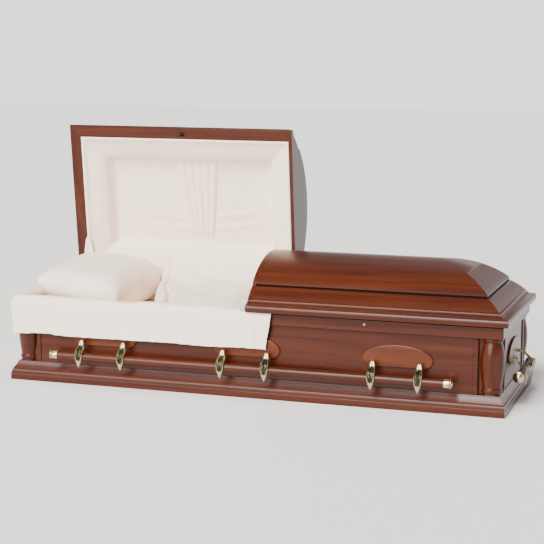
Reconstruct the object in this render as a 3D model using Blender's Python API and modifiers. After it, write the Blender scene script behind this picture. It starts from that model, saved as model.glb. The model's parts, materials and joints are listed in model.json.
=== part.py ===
"""A wooden half-couch funeral casket: moulded plinth, panelled case with turned corner posts,
two crowned lids on hinges, four swinging bar handles and a fabric lining.

Units are metres. +X runs to the foot end, -Y to the front, +Z up. The origin is the middle of
the plinth's footprint. The head lid is modelled shut and then turned open about its hinge.
"""
import math

import bmesh
import bpy
from mathutils import Matrix, Vector

# Clearance between pieces that touch
GAP = 0.0003

# Plinth
PLINTH_LENGTH = 2.130
PLINTH_WIDTH = 0.700
PLINTH_HEIGHT = 0.080
PLINTH_FASCIA = 0.034
PLINTH_SLOPE = 0.026
PLINTH_WALL = 0.075
PLINTH_ROUND_WIDTH = 0.008
PLINTH_ROUND_HEIGHT = 0.012
PLINTH_FILLET = 0.004

# Case
PANEL_SETBACK = 0.028
PANEL_THICKNESS = 0.019
RAIL_HEIGHT = 0.049
RAIL_PROUD = 0.013
RAIL_THICKNESS = 0.034
CASE_TOP = 0.352
BOTTOM_THICKNESS = 0.015
PILASTER_WIDTH = 0.020
PILASTER_PROUD = 0.005
PILASTER_INSET = 0.001
PILASTER_EASE = 0.002
RAIL_EASE = 0.003

# Corner posts
POST_BELLY_RADIUS = 0.049
POST_NECK_RADIUS = 0.038
POST_RING_RADIUS = 0.043
POST_EASE = 0.002
POST_SIDES = 16
CORE_BACK = 0.048
CORE_FRONT = 0.023
CORE_SHOULDER = 0.009

# Lids
LID_OVERHANG_END = 0.019
LID_OVERHANG_SIDE = 0.023
LID_SEAT = 0.005
LID_HEIGHT = 0.209
LID_SPLIT = 0.004
MOULDING_WIDTH = 0.100
CROWN_STEP = 0.0153
CROWN_RADIUS = 0.388
CROWN_STEPS = 9
CROWN_WALL = 0.012
STILE_WIDTH = 0.060
HEADER_THICKNESS = 0.016
LINING_MARGIN = 0.006
LINING_THICKNESS = 0.006
LINING_DEPTH = 0.093
LINING_BORDER = ((0.0, 0.004), (0.038, 0.030), (0.078, 0.048), (0.086, 0.060))
LINING_BORDER_WIDTH = 0.107
HEAD_LID_OPEN_DEG = 83.0

# Lid hinges
KNUCKLE_RADIUS = 0.0028
HINGE_INSET = 0.0070
LEAF_THICKNESS = 0.0014
LEAF_LENGTH = 0.880
LEAF_SHIFT = 0.015
LEAF_WIDTH = 0.024
KNUCKLE_COUNT = 5
KNUCKLE_PLAY = 0.0005

# Bed, pillow, throw and the fabric on the case
SKIRT_THICKNESS = 0.008
BED_TOP = 0.285
BED_MARGIN = 0.004
PILLOW_LENGTH = 0.410
PILLOW_WIDTH = 0.540
PILLOW_HEIGHT = 0.145
PILLOW_DOME = ((0.0, 0.040), (0.33, 0.0), (0.60, 0.035), (0.80, 0.090), (1.0, 0.125))
THROW_LEFT = -0.500
THROW_RIGHT = 0.060
THROW_HEIGHT = 0.060
THROW_EDGE = ((0.0, 0.018), (0.5, 0.0), (1.0, 0.018))
THROW_MARGIN = 0.008
CUSHION_CORNER = 0.045
BED_EASE = 0.010
SKIRT_BELOW_BED = 0.040
APRON_RIGHT = 0.110
APRON_HEM = 0.205
APRON_THICKNESS = 0.003
APRON_FLARE = 0.008
APRON_SHORT_OF_BACK = 0.045

# Handles
PLAQUE_HALF_WIDTH = 0.1435
PLAQUE_BOTTOM = 0.167
PLAQUE_SPRING = 0.200
PLAQUE_TOP = 0.258
PLAQUE_THICKNESS = 0.008
PLAQUE_CORNER = 0.042
PLAQUE_EASE = 0.0035
ARM_SPACING = 0.190
PAIR_FROM_TIP = 0.236
PIN_HEIGHT = 0.185
PIN_STANDOFF = 0.013
EAR_RADIUS = 0.006
EAR_WIDTH = 0.007
CHEEK_WIDTH = 0.003
CHEEK_PLAY = 0.0005
BAR_HEIGHT = 0.126
BAR_STANDOFF = 0.048
BAR_RADIUS = 0.016
FERRULE_RADIUS = 0.0185
FLANGE_RADIUS = 0.023
FERRULE_LENGTH = 0.040
BAR_SIDES = 12
LONG_BAR_SETBACK = 0.169
SHORT_BAR_SETBACK = 0.148
ARM_BOTTOM = 0.081
ARM_WIDTH = 0.028
ARM_THICKNESS = 0.006
ARM_CLEARANCE = 0.0018

# Small hardware
LATCH_INSET = 0.026
LATCH_X = 0.520
LATCH_LENGTH = 0.038
LATCH_DEPTH = 0.020
LATCH_THICKNESS = 0.001
LATCH_TAPER = 0.7
KEYHOLE_X = 0.496
KEYHOLE_RADIUS = 0.005
KEYHOLE_THICKNESS = 0.002
KEYHOLE_DROP = 0.019

# Values worked out from the driving dimensions
PANEL_X = PLINTH_LENGTH / 2 - PANEL_SETBACK
PANEL_Y = PLINTH_WIDTH / 2 - PANEL_SETBACK
RAIL_X = PANEL_X + RAIL_PROUD
RAIL_Y = PANEL_Y + RAIL_PROUD
RAIL_BOTTOM = CASE_TOP - RAIL_HEIGHT
INNER_X = RAIL_X - RAIL_THICKNESS
INNER_Y = RAIL_Y - RAIL_THICKNESS
POST_X = RAIL_X - POST_BELLY_RADIUS
POST_Y = RAIL_Y - POST_BELLY_RADIUS
POST_BOTTOM = PLINTH_HEIGHT + GAP
POST_TOP = RAIL_BOTTOM - GAP
CORE_X = POST_X - CORE_BACK
CORE_Y = POST_Y - CORE_BACK
CORE_FACE = CORE_FRONT - CORE_SHOULDER
CORE_LINE = POST_X + POST_Y - CORE_BACK + CORE_FACE
BED_BOTTOM = PLINTH_HEIGHT + GAP
RIM_Z = CASE_TOP + LID_SEAT
LID_LENGTH = 2 * (RAIL_X + LID_OVERHANG_END)
LID_WIDTH = 2 * (RAIL_Y + LID_OVERHANG_SIDE)
LEAF_CENTRE = RAIL_X / 2 + LEAF_SHIFT
HINGE_Y = LID_WIDTH / 2 - HINGE_INSET
HINGE_Z = RIM_Z - 2 * GAP - KNUCKLE_RADIUS
HEADER_FACE = LID_SPLIT / 2
SHELL_START = HEADER_FACE + HEADER_THICKNESS + GAP
PLAQUE_FACE = PLAQUE_THICKNESS + GAP
LONG_BAR_HALF = PANEL_X - LONG_BAR_SETBACK
SHORT_BAR_HALF = PANEL_Y - SHORT_BAR_SETBACK
PAIR_SPACING = LONG_BAR_HALF - PAIR_FROM_TIP

COLOURS = {
    "cherry": ((0.165, 0.040, 0.016, 1), 0.28, 0.0),
    "brass": ((0.480, 0.360, 0.170, 1), 0.30, 1.0),
    "crepe": ((0.880, 0.800, 0.720, 1), 0.90, 0.0),
}

casket = bpy.data.collections.new("casket")
workshop = bpy.data.collections.new("casket_cutters")


def clear_scene():
    """Remove whatever the open file holds, and link the two collections."""
    for old in list(bpy.data.objects):
        bpy.data.objects.remove(old, do_unlink=True)
    bpy.context.scene.collection.children.link(casket)
    bpy.context.scene.collection.children.link(workshop)


def finish_material(name, finish):
    """A Principled material of one of the three finishes, named for its sub-part."""
    colour, roughness, metallic = COLOURS[finish]
    material = bpy.data.materials.new(name + "_" + finish)
    material.use_nodes = True
    shader = material.node_tree.nodes["Principled BSDF"]
    shader.inputs["Base Color"].default_value = colour
    shader.inputs["Roughness"].default_value = roughness
    shader.inputs["Metallic"].default_value = metallic
    return material


def evaluated_mesh(obj):
    """A new mesh holding the object as its modifiers leave it, with its loose seams welded."""
    graph = bpy.context.evaluated_depsgraph_get()
    mesh = bpy.data.meshes.new_from_object(obj.evaluated_get(graph))
    shape = bmesh.new()
    shape.from_mesh(mesh)
    bmesh.ops.remove_doubles(shape, verts=shape.verts, dist=0.00001)
    shape.to_mesh(mesh)
    shape.free()
    return mesh


def applied(obj):
    """Put the modifiers' result into the object's mesh and drop the modifiers."""
    mesh = evaluated_mesh(obj)
    obj.modifiers.clear()
    obj.data = mesh
    return obj


def new_object(name, mesh):
    """Link a mesh as an object in the cutters' collection, until it is handed to the casket."""
    obj = bpy.data.objects.new(name, mesh)
    workshop.objects.link(obj)
    return obj


def moved(obj, matrix):
    """Carry the object's mesh by a matrix, so that its origin stays where it is."""
    obj.data.transform(matrix)
    return obj


def flat_solid(name, outlines, thickness):
    """A board cut to closed outlines (u, v); an outline inside another is a hole.

    The board lies in its own XY plane with its thickness centred on z = 0.
    """
    curve = bpy.data.curves.new(name, "CURVE")
    curve.dimensions = "2D"
    curve.fill_mode = "BOTH"
    curve.extrude = thickness / 2
    for outline in outlines:
        spline = curve.splines.new("POLY")
        spline.points.add(len(outline) - 1)
        for point, (u, v) in zip(spline.points, outline):
            point.co = (u, v, 0, 1)
        spline.use_cyclic_u = True
    drawn = new_object(name, curve)
    board = new_object(name, evaluated_mesh(drawn))
    bpy.data.objects.remove(drawn)
    shape = bmesh.new()
    shape.from_mesh(board.data)
    bmesh.ops.recalc_face_normals(shape, faces=shape.faces)
    shape.to_mesh(board.data)
    shape.free()
    return board


# (u, v, w) of a flat board to world axes: a section across the casket, and one along it
ACROSS = Matrix(((0, 0, 1, 0), (1, 0, 0, 0), (0, 1, 0, 0), (0, 0, 0, 1)))
ALONG = Matrix(((1, 0, 0, 0), (0, 0, -1, 0), (0, 1, 0, 0), (0, 0, 0, 1)))


def run_across(name, outline, x_low, x_high):
    """A (y, z) section carried along X from x_low to x_high."""
    board = flat_solid(name, [outline], x_high - x_low)
    moved(board, ACROSS)
    return moved(board, Matrix.Translation(((x_low + x_high) / 2, 0, 0)))


def run_along(name, outline, y_half):
    """An (x, z) section carried along Y, to y_half on both sides."""
    return moved(flat_solid(name, [outline], 2 * y_half), ALONG)


def box(name, low, high):
    """A closed box between two corners."""
    mesh = bpy.data.meshes.new(name)
    shape = bmesh.new()
    bmesh.ops.create_cube(shape, size=1.0)
    size = Vector(high) - Vector(low)
    bmesh.ops.scale(shape, vec=size, verts=shape.verts)
    bmesh.ops.translate(shape, vec=(Vector(high) + Vector(low)) / 2, verts=shape.verts)
    shape.to_mesh(mesh)
    shape.free()
    return new_object(name, mesh)


def combined(obj, cutter, operation):
    """Boolean the cutter into the object, apply it and remove the cutter."""
    tool = obj.modifiers.new(operation.lower(), "BOOLEAN")
    tool.operation = operation
    tool.solver = "EXACT"
    tool.object = cutter
    applied(obj)
    bpy.data.objects.remove(cutter)
    return obj


def turned(name, profile, sides):
    """A turned shape: a profile of (radius, height), top to bottom, screwed round Z."""
    mesh = bpy.data.meshes.new(name)
    points = [(radius, 0, height) for radius, height in profile]
    mesh.from_pydata(points, [(i, i + 1) for i in range(len(points) - 1)], [])
    obj = new_object(name, mesh)
    screw = obj.modifiers.new("turning", "SCREW")
    screw.axis = "Z"
    screw.steps = sides
    screw.render_steps = sides
    screw.use_merge_vertices = True
    screw.merge_threshold = 0.0001
    return applied(obj)


def rounded(obj, width, segments, keep_test):
    """Round the edges whose two ends both pass keep_test."""
    shape = bmesh.new()
    shape.from_mesh(obj.data)
    edges = [e for e in shape.edges if all(keep_test(v.co) for v in e.verts)]
    edges = [e for e in edges if len(e.link_faces) == 2 and e.calc_face_angle() > math.radians(30)]
    bmesh.ops.bevel(shape, geom=edges, offset=width, segments=segments, affect="EDGES", profile=0.5)
    shape.to_mesh(obj.data)
    shape.free()
    return obj


def cut_flat(obj, point, normal):
    """Saw the piece at a plane, drop what lies on the normal's side, and close the cut."""
    shape = bmesh.new()
    shape.from_mesh(obj.data)
    geometry = shape.verts[:] + shape.edges[:] + shape.faces[:]
    cut = bmesh.ops.bisect_plane(shape, geom=geometry, plane_co=point, plane_no=normal, clear_outer=True)
    rim = [item for item in cut["geom_cut"] if isinstance(item, bmesh.types.BMEdge)]
    bmesh.ops.contextual_create(shape, geom=rim)
    bmesh.ops.recalc_face_normals(shape, faces=shape.faces)
    shape.to_mesh(obj.data)
    shape.free()
    return obj


def hand_over(obj, name, finish, parent=None, location=(0, 0, 0), turn=0.0):
    """Name the piece, give it its material and put it in the casket's collection."""
    workshop.objects.unlink(obj)
    casket.objects.link(obj)
    obj.name = name
    obj.data.name = name
    obj.data.materials.clear()
    obj.data.materials.append(finish_material(name, finish))
    obj.parent = parent
    obj.location = location
    obj.rotation_euler = (0, 0, turn)
    obj.data.shade_smooth()
    obj.data.set_sharp_from_angle(angle=math.radians(35))
    return obj


def arc(centre, radii, start_deg, end_deg, steps):
    """Points on an ellipse's arc, from start to end, in steps pieces."""
    points = []
    for i in range(steps + 1):
        angle = math.radians(start_deg + (end_deg - start_deg) * i / steps)
        points.append((centre[0] + radii[0] * math.cos(angle), centre[1] + radii[1] * math.sin(angle)))
    return points


def mirrored_outline(half, profile):
    """A closed outline from (inset, height) points on the right, repeated on the left."""
    right = [(half - inset, height) for inset, height in profile]
    left = [(-u, v) for u, v in reversed(right) if u > 0.000001]
    return right + left


def inside_outline(half_x, half_y, clearance):
    """A rectangle inside the case, its corners cut at 45 degrees to clear the corner posts' cores."""
    cut = half_x + half_y - CORE_LINE + clearance * math.sqrt(2)
    return [
        (half_x, -half_y + cut), (half_x, half_y - cut), (half_x - cut, half_y), (-half_x + cut, half_y),
        (-half_x, half_y - cut), (-half_x, -half_y + cut), (-half_x + cut, -half_y), (half_x - cut, -half_y),
    ]


def plinth_profile():
    """Fascia, quarter round, fillet and cove, as (inset, height) going up."""
    wide = PLINTH_ROUND_WIDTH
    round_over = arc((wide, PLINTH_FASCIA), (wide, PLINTH_ROUND_HEIGHT), 180, 90, 3)
    cove_rise = PLINTH_HEIGHT - PLINTH_FASCIA - PLINTH_ROUND_HEIGHT - PLINTH_FILLET
    cove = arc((wide, PLINTH_HEIGHT), (PLINTH_SLOPE - wide, cove_rise), 270, 360, 4)
    return [(0, 0)] + round_over + cove


def make_plinth():
    """Four mitred lengths of one moulding, fastened as a ring."""
    half_x = PLINTH_LENGTH / 2
    half_y = PLINTH_WIDTH / 2
    profile = plinth_profile()
    ring = run_across("plinth", mirrored_outline(half_y, profile), -half_x - 0.1, half_x + 0.1)
    taller = [(0, -0.05)] + profile[1:] + [(PLINTH_SLOPE, PLINTH_HEIGHT + 0.05)]
    combined(ring, run_along("ends", mirrored_outline(half_x, taller), half_y + 0.1), "INTERSECT")
    inside_x = half_x - PLINTH_WALL
    inside_y = half_y - PLINTH_WALL
    combined(ring, box("inside", (-inside_x, -inside_y, -0.1), (inside_x, inside_y, 0.2)), "DIFFERENCE")
    hand_over(ring, "plinth", "cherry")


def make_bottom_board():
    """The floor of the casket, let in flush with the plinth's underside."""
    reach_x = PLINTH_LENGTH / 2 - PLINTH_WALL - GAP
    reach_y = PLINTH_WIDTH / 2 - PLINTH_WALL - GAP
    board = box("bottom_board", (-reach_x, -reach_y, 0), (reach_x, reach_y, BOTTOM_THICKNESS))
    hand_over(board, "bottom_board", "cherry")


def panel(name, half_length, out, turn):
    """One wall of the case with a pilaster strip planted at each end; outward is -Y before the turn."""
    low, high = PLINTH_HEIGHT + GAP, RAIL_BOTTOM - GAP
    wall = box(name, (-half_length, -out, low), (half_length, -out + PANEL_THICKNESS, high))
    for side in (-1, 1):
        half = PILASTER_WIDTH / 2
        middle = side * (half_length - PILASTER_INSET - half)
        strip = box("strip", (middle - half, -out - PILASTER_PROUD, low + PILASTER_INSET),
                    (middle + half, -out + PANEL_THICKNESS / 2, high - PILASTER_INSET))
        front = -out - PILASTER_PROUD + 0.0001
        rounded(strip, PILASTER_EASE, 1, lambda co: co.y < front)
        combined(wall, strip, "UNION")
    hand_over(wall, name, "cherry", turn=turn)


def make_corner_posts():
    """Turned corner posts, worked in one with the shouldered core that closes the case's corner."""
    rise = POST_TOP - POST_BOTTOM
    ring = POST_RING_RADIUS
    neck = POST_NECK_RADIUS
    swell = POST_BELLY_RADIUS - neck
    foot = neck + POST_EASE / 2
    profile = [
        (0, 1.0), (ring - POST_EASE, 1.0), (ring, 0.985), (ring, 0.955), (neck, 0.935), (neck, 0.915),
        (neck + 0.45 * swell, 0.84), (neck + 0.86 * swell, 0.72), (neck + swell, 0.58),
        (neck + 0.88 * swell, 0.42), (neck + 0.50 * swell, 0.26), (neck, 0.125),
        (ring, 0.105), (ring, 0.045), (foot, 0.02), (foot, 0), (0, 0),
    ]
    profile = [(radius, share * rise) for radius, share in profile]
    outer = CORE_FRONT
    inner = -CORE_BACK
    face = CORE_FACE
    core_outline = [(inner, outer), (inner, face), (face, inner), (outer, inner), (outer, outer)]
    for x_side, end in ((-1, "head"), (1, "foot")):
        for y_side, wall in ((-1, "front"), (1, "back")):
            post = turned("post", profile, POST_SIDES)
            outline = [(x_side * u, y_side * v) for u, v in core_outline]
            core = flat_solid("core", [outline], rise - 2 * PILASTER_INSET)
            moved(core, Matrix.Translation((0, 0, rise / 2)))
            combined(post, core, "UNION")
            inward = Vector((-x_side, -y_side, 0))
            cut_flat(post, Vector((x_side * inner, y_side * face, 0)), inward.normalized())
            name = "corner_post_" + end + "_" + wall
            hand_over(post, name, "cherry", location=(x_side * POST_X, y_side * POST_Y, POST_BOTTOM))


def rail_section():
    """The top rail's section as (outward, height), with an eased lower edge and a rounded arris."""
    deep = RAIL_THICKNESS
    ease = RAIL_EASE
    lower_edge = arc((deep - 2 * ease, RAIL_BOTTOM + 2 * ease), (2 * ease, 2 * ease), 270, 360, 2)
    arris = arc((deep - ease, CASE_TOP - ease), (ease, ease), 0, 90, 1)
    return [(0, RAIL_BOTTOM)] + lower_edge + arris + [(0, CASE_TOP)]


def make_rail(name, half_length, out, turn):
    """One mitred length of the top rail; its outer face is at -Y before the turn."""
    section = [(-out + RAIL_THICKNESS - u, v) for u, v in rail_section()]
    rail = run_across(name, section, -half_length - 0.1, half_length + 0.1)
    for side in (-1, 1):
        normal = Vector((side, 1, 0)).normalized()
        cut_flat(rail, Vector((side * half_length, -out, 0)) - normal * GAP / 2, normal)
    hand_over(rail, name, "cherry", turn=turn)


def lid_profile():
    """The rim moulding and half the crown, as (inset, height above the rim plane) going up."""
    crown = crown_points(MOULDING_WIDTH, 0.0)
    groove = (MOULDING_WIDTH, crown[0][1] - CROWN_STEP)
    bullnose = arc((0.010, 0.0155), (0.012, 0.0145), 215, 90, 4)
    cove = [(0.020, 0.0325), (0.034, 0.0395)]
    bead = [(0.0345, 0.0445), (0.038, 0.0475)]
    slope_foot = bead[-1]
    slope_head = (MOULDING_WIDTH - 0.004, groove[1] + 0.001)
    slope = []
    for i in range(1, 5):
        share = i / 4
        bulge = 0.0016 * math.sin(math.pi * share)
        slope.append((slope_foot[0] + (slope_head[0] - slope_foot[0]) * share - bulge,
                      slope_foot[1] + (slope_head[1] - slope_foot[1]) * share + bulge))
    return [(0.001, 0)] + bullnose + cove + bead + slope + [groove] + crown


def crown_points(inset, wall):
    """The crown's arc, from an inset to the middle of the lid, a wall's thickness below its face."""
    half = LID_WIDTH / 2
    radius = CROWN_RADIUS - wall
    centre = LID_HEIGHT - CROWN_RADIUS
    points = []
    for i in range(CROWN_STEPS + 1):
        y = (half - inset) * (1 - i / CROWN_STEPS)
        points.append((half - y, centre + math.sqrt(radius ** 2 - y ** 2)))
    return points


def cavity_profile():
    """The hollow inside the rim and the crown, as (inset, height), from below the rim plane."""
    arc_inset = MOULDING_WIDTH + CROWN_WALL
    crown = crown_points(arc_inset, CROWN_WALL)
    return [(STILE_WIDTH, -0.05), (STILE_WIDTH, 0.030), (arc_inset, crown[0][1] - 0.020)] + crown


def end_outline(profile, below):
    """A hipped end as an (x, z) outline: the profile at the foot end, open past the split."""
    half = LID_LENGTH / 2
    right = [(half - inset, height) for inset, height in profile]
    top = right[-1]
    return [(right[0][0], below)] + right + [(top[0], top[1] + 0.02), (-0.1, top[1] + 0.02), (-0.1, below)]


def lid_shell():
    """Rim moulding, hipped end and crown of one lid, hollow inside, in the lid's own frame."""
    half_y = LID_WIDTH / 2
    beyond = LID_LENGTH / 2 + 0.1
    profile = lid_profile()
    cavity = cavity_profile()
    shell = run_across("lid_shell", mirrored_outline(half_y, profile), SHELL_START, beyond)
    combined(shell, run_along("hip", end_outline(profile, -0.05), half_y + 0.1), "INTERSECT")
    hollow = run_across("hollow", mirrored_outline(half_y, cavity), -0.1, beyond)
    combined(hollow, run_along("hollow_end", end_outline(cavity, -0.08), half_y + 0.1), "INTERSECT")
    return combined(shell, hollow, "DIFFERENCE")


def lining_loops():
    """Rectangles (x low, x high, y half, height) down the cap lining's border into its recess."""
    loops = []
    half_x, half_y = LID_LENGTH / 2, LID_WIDTH / 2
    border = STILE_WIDTH + LINING_MARGIN
    split_start = HEADER_FACE + HEADER_THICKNESS + LINING_MARGIN
    for inward, height in LINING_BORDER + ((LINING_BORDER_WIDTH, LINING_DEPTH),):
        loops.append((split_start + inward, half_x - border - inward, half_y - border - inward, height))
    return loops


def lid_lining():
    """The padded dish that lines a lid: an open surface of nested loops, thickened outwards."""
    points = []
    faces = []
    for x_low, x_high, y_half, height in lining_loops():
        base = len(points)
        points += [(x_low, -y_half, height), (x_high, -y_half, height),
                   (x_high, y_half, height), (x_low, y_half, height)]
        if base:
            for i in range(4):
                j = (i + 1) % 4
                faces.append((base - 4 + i, base - 4 + j, base + j, base + i))
    last = len(points) - 4
    faces.append((last, last + 1, last + 2, last + 3))
    mesh = bpy.data.meshes.new("lid_lining")
    mesh.from_pydata(points, [], faces)
    dish = new_object("lid_lining", mesh)
    wall = dish.modifiers.new("padding", "SOLIDIFY")
    wall.thickness = LINING_THICKNESS
    wall.offset = 1
    wall.use_even_offset = True
    return applied(dish)


def hinge_leaf(first, plate_low, plate_high, reach_from, reach_to):
    """One leaf of a long hinge: a plate, and every other knuckle from the given one."""
    start = -LEAF_LENGTH / 2
    pitch = LEAF_LENGTH / KNUCKLE_COUNT
    leaf = box("leaf", (start, reach_from, plate_low), (-start, reach_to, plate_high))
    for i in range(first, KNUCKLE_COUNT, 2):
        low = start + i * pitch + KNUCKLE_PLAY
        high = start + (i + 1) * pitch - KNUCKLE_PLAY
        tab_reach = sorted((0, (reach_from + reach_to) / 2))
        tab = box("tab", (low, tab_reach[0], plate_low + 0.0001), (high, tab_reach[1], plate_high - 0.0001))
        combined(leaf, tab, "UNION")
        knuckle = run_across("knuckle", arc((0, 0), (KNUCKLE_RADIUS, KNUCKLE_RADIUS), 15, 345, 11), low, high)
        combined(leaf, knuckle, "UNION")
    return leaf


def make_hinge(end, side, hinge):
    """The two leaves of one lid's hinge: on the rail, and under the lid's back rim."""
    inner = RAIL_Y - LEAF_WIDTH - HINGE_Y
    outer = -KNUCKLE_RADIUS - 0.0012
    low = CASE_TOP + GAP - HINGE_Z
    case_leaf = hinge_leaf(0, low, low + LEAF_THICKNESS, inner, outer)
    middle = side * LEAF_CENTRE
    hand_over(case_leaf, "hinge_leaf_case_" + end, "brass", location=(middle, HINGE_Y, HINGE_Z))
    high = RIM_Z - GAP - HINGE_Z
    lid_leaf = hinge_leaf(1, high - LEAF_THICKNESS, high, inner, outer)
    hand_over(lid_leaf, "hinge_leaf_lid_" + end, "brass", parent=hinge, location=(middle, 0, 0))


def make_lid(end, side, open_deg):
    """One lid's pieces, on an empty that lies on the hinge's axis."""
    hinge = bpy.data.objects.new("hinge_axis_" + end, None)
    casket.objects.link(hinge)
    hinge.location = (0, HINGE_Y, HINGE_Z)
    turn = 0.0 if side > 0 else math.pi
    seat = (0, -HINGE_Y, RIM_Z - HINGE_Z)
    hand_over(lid_shell(), "lid_shell_" + end, "cherry", parent=hinge, location=seat, turn=turn)
    outline = mirrored_outline(LID_WIDTH / 2, lid_profile())
    header = run_across("header", outline, HEADER_FACE, HEADER_FACE + HEADER_THICKNESS)
    hand_over(header, "header_" + end, "cherry", parent=hinge, location=seat, turn=turn)
    hand_over(lid_lining(), "lid_lining_" + end, "crepe", parent=hinge, location=seat, turn=turn)
    make_hinge(end, side, hinge)
    hinge.rotation_euler = (math.radians(-open_deg), 0, 0)
    return hinge


def make_latch_plate(hinge):
    """The strike plate let on to the head lid's front stile, narrower at its foot."""
    half = LATCH_LENGTH / 2
    depth = LATCH_DEPTH / 2
    narrow = half * LATCH_TAPER
    outline = [(-half, -depth), (half, -depth), (narrow, depth), (-narrow, depth)]
    plate = flat_solid("latch", [outline], LATCH_THICKNESS)
    out = LID_WIDTH / 2 - LATCH_INSET
    drop = RIM_Z - GAP - LATCH_THICKNESS / 2
    place = (-LATCH_X, -out - HINGE_Y, drop - HINGE_Z)
    hand_over(plate, "latch_plate", "brass", parent=hinge, location=place)


def make_keyhole():
    """The key escutcheon on the front rail."""
    radius = KEYHOLE_RADIUS
    disc = turned("keyhole", [(0, KEYHOLE_THICKNESS), (radius * 0.8, KEYHOLE_THICKNESS),
                              (radius, KEYHOLE_THICKNESS * 0.6), (radius, 0), (0, 0)], 12)
    moved(disc, Matrix.Rotation(math.radians(90), 4, "X"))
    hand_over(disc, "keyhole", "brass", location=(KEYHOLE_X, -RAIL_Y - GAP, CASE_TOP - KEYHOLE_DROP))


def plaque_outline():
    """A low arch over a flat foot with rounded corners, as (along, up)."""
    half = PLAQUE_HALF_WIDTH
    corner = PLAQUE_CORNER
    foot = PLAQUE_SPRING - PLAQUE_BOTTOM
    right = arc((half - corner, PLAQUE_SPRING), (corner, foot), -90, 0, 4)
    top = arc((0, PLAQUE_SPRING), (half, PLAQUE_TOP - PLAQUE_SPRING), 0, 180, 14)
    left = arc((-half + corner, PLAQUE_SPRING), (corner, foot), 180, 270, 4)
    return right[:-1] + top + left[1:]


def make_plaque(name, along, out, turn):
    """A raised plaque with the two ears that a pair of arms hangs from; outward is -Y before the turn."""
    plaque = moved(flat_solid(name, [plaque_outline()], PLAQUE_THICKNESS), ALONG)
    moved(plaque, Matrix.Translation((0, -PLAQUE_THICKNESS / 2, 0)))
    face = -PLAQUE_THICKNESS + 0.0001
    rounded(plaque, PLAQUE_EASE, 2, lambda co: co.y < face)
    pin_y = -PLAQUE_THICKNESS - PIN_STANDOFF
    nose = arc((pin_y, PIN_HEIGHT), (EAR_RADIUS, EAR_RADIUS), 270, 90, 6)
    root = -PLAQUE_THICKNESS / 2
    section = [(root, PIN_HEIGHT - EAR_RADIUS), *nose, (root, PIN_HEIGHT + EAR_RADIUS)]
    for side in (-1, 1):
        middle = side * ARM_SPACING / 2
        ear = run_across("ear", section, middle - EAR_WIDTH / 2, middle + EAR_WIDTH / 2)
        combined(plaque, ear, "UNION")
    turned_place = Matrix.Rotation(turn, 4, "Z") @ Vector((along, -out - GAP, 0))
    hand_over(plaque, name, "cherry", location=turned_place, turn=turn)


def arm_pattern():
    """A leaf-shaped arm bowed round the bar, with two cheeks that straddle the ear; origin on the pin."""
    pin_out = PLAQUE_FACE + PIN_STANDOFF
    bar_out = BAR_STANDOFF - pin_out
    bar_drop = BAR_HEIGHT - PIN_HEIGHT
    clear = BAR_RADIUS + ARM_THICKNESS / 2 + ARM_CLEARANCE
    route = [
        Vector((0.0065, 0.0075)), Vector((0.011, 0.0035)), Vector((bar_out * 0.62, bar_drop * 0.25)),
        Vector((bar_out + clear * 0.72, bar_drop * 0.62)), Vector((bar_out + clear, bar_drop)),
        Vector((bar_out + clear * 0.95, bar_drop - 0.022)),
        Vector((bar_out + clear * 0.78, ARM_BOTTOM - PIN_HEIGHT)),
    ]
    shares = (0.26, 0.42, 0.68, 0.94, 1.0, 0.68, 0.16)
    points = []
    faces = []
    for i, (place, share) in enumerate(zip(route, shares)):
        ahead = route[min(i + 1, len(route) - 1)] - route[max(i - 1, 0)]
        face = Vector((-ahead.y, ahead.x)).normalized()
        half = ARM_WIDTH / 2 * share
        thick = ARM_THICKNESS / 2 * (0.6 + 0.4 * share)
        base = len(points)
        ring = ((-half, 0.25), (-half * 0.45, -1), (half * 0.45, -1), (half, 0.25), (0, 1))
        for across, lift in ring:
            spot = place + face * thick * lift
            points.append((across, -spot.x, spot.y))
        if base:
            for k in range(5):
                m = (k + 1) % 5
                faces.append((base - 5 + k, base - 5 + m, base + m, base + k))
    faces.append((4, 3, 2, 1, 0))
    last = len(points) - 5
    faces.append((last, last + 1, last + 2, last + 3, last + 4))
    mesh = bpy.data.meshes.new("arm")
    mesh.from_pydata(points, [], faces)
    shape = bmesh.new()
    shape.from_mesh(mesh)
    bmesh.ops.recalc_face_normals(shape, faces=shape.faces)
    shape.to_mesh(mesh)
    shape.free()
    arm = new_object("arm", mesh)
    eye = arc((0, 0), (EAR_RADIUS, EAR_RADIUS), 0, 180, 5)
    section = eye + [(-EAR_RADIUS * 2.0, EAR_RADIUS * 0.1), (-EAR_RADIUS * 1.2, -EAR_RADIUS)]
    for side in (-1, 1):
        inner = EAR_WIDTH / 2 + CHEEK_PLAY
        edges = sorted((side * inner, side * (inner + CHEEK_WIDTH)))
        combined(arm, run_across("cheek", section, edges[0], edges[1]), "UNION")
    return arm


def bar_profile(half):
    """Half the bar from its domed tip to the middle, as (radius, distance), mirrored for the other half."""
    tip = [
        (0, half), (FERRULE_RADIUS * 0.62, half - 0.002), (FERRULE_RADIUS * 0.86, half - 0.007),
        (FLANGE_RADIUS, half - 0.0085), (FLANGE_RADIUS, half - 0.0125), (FERRULE_RADIUS, half - 0.014),
        (FERRULE_RADIUS, half - FERRULE_LENGTH), (BAR_RADIUS, half - FERRULE_LENGTH - 0.001),
    ]
    return tip + [(radius, -distance) for radius, distance in reversed(tip)]


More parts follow.
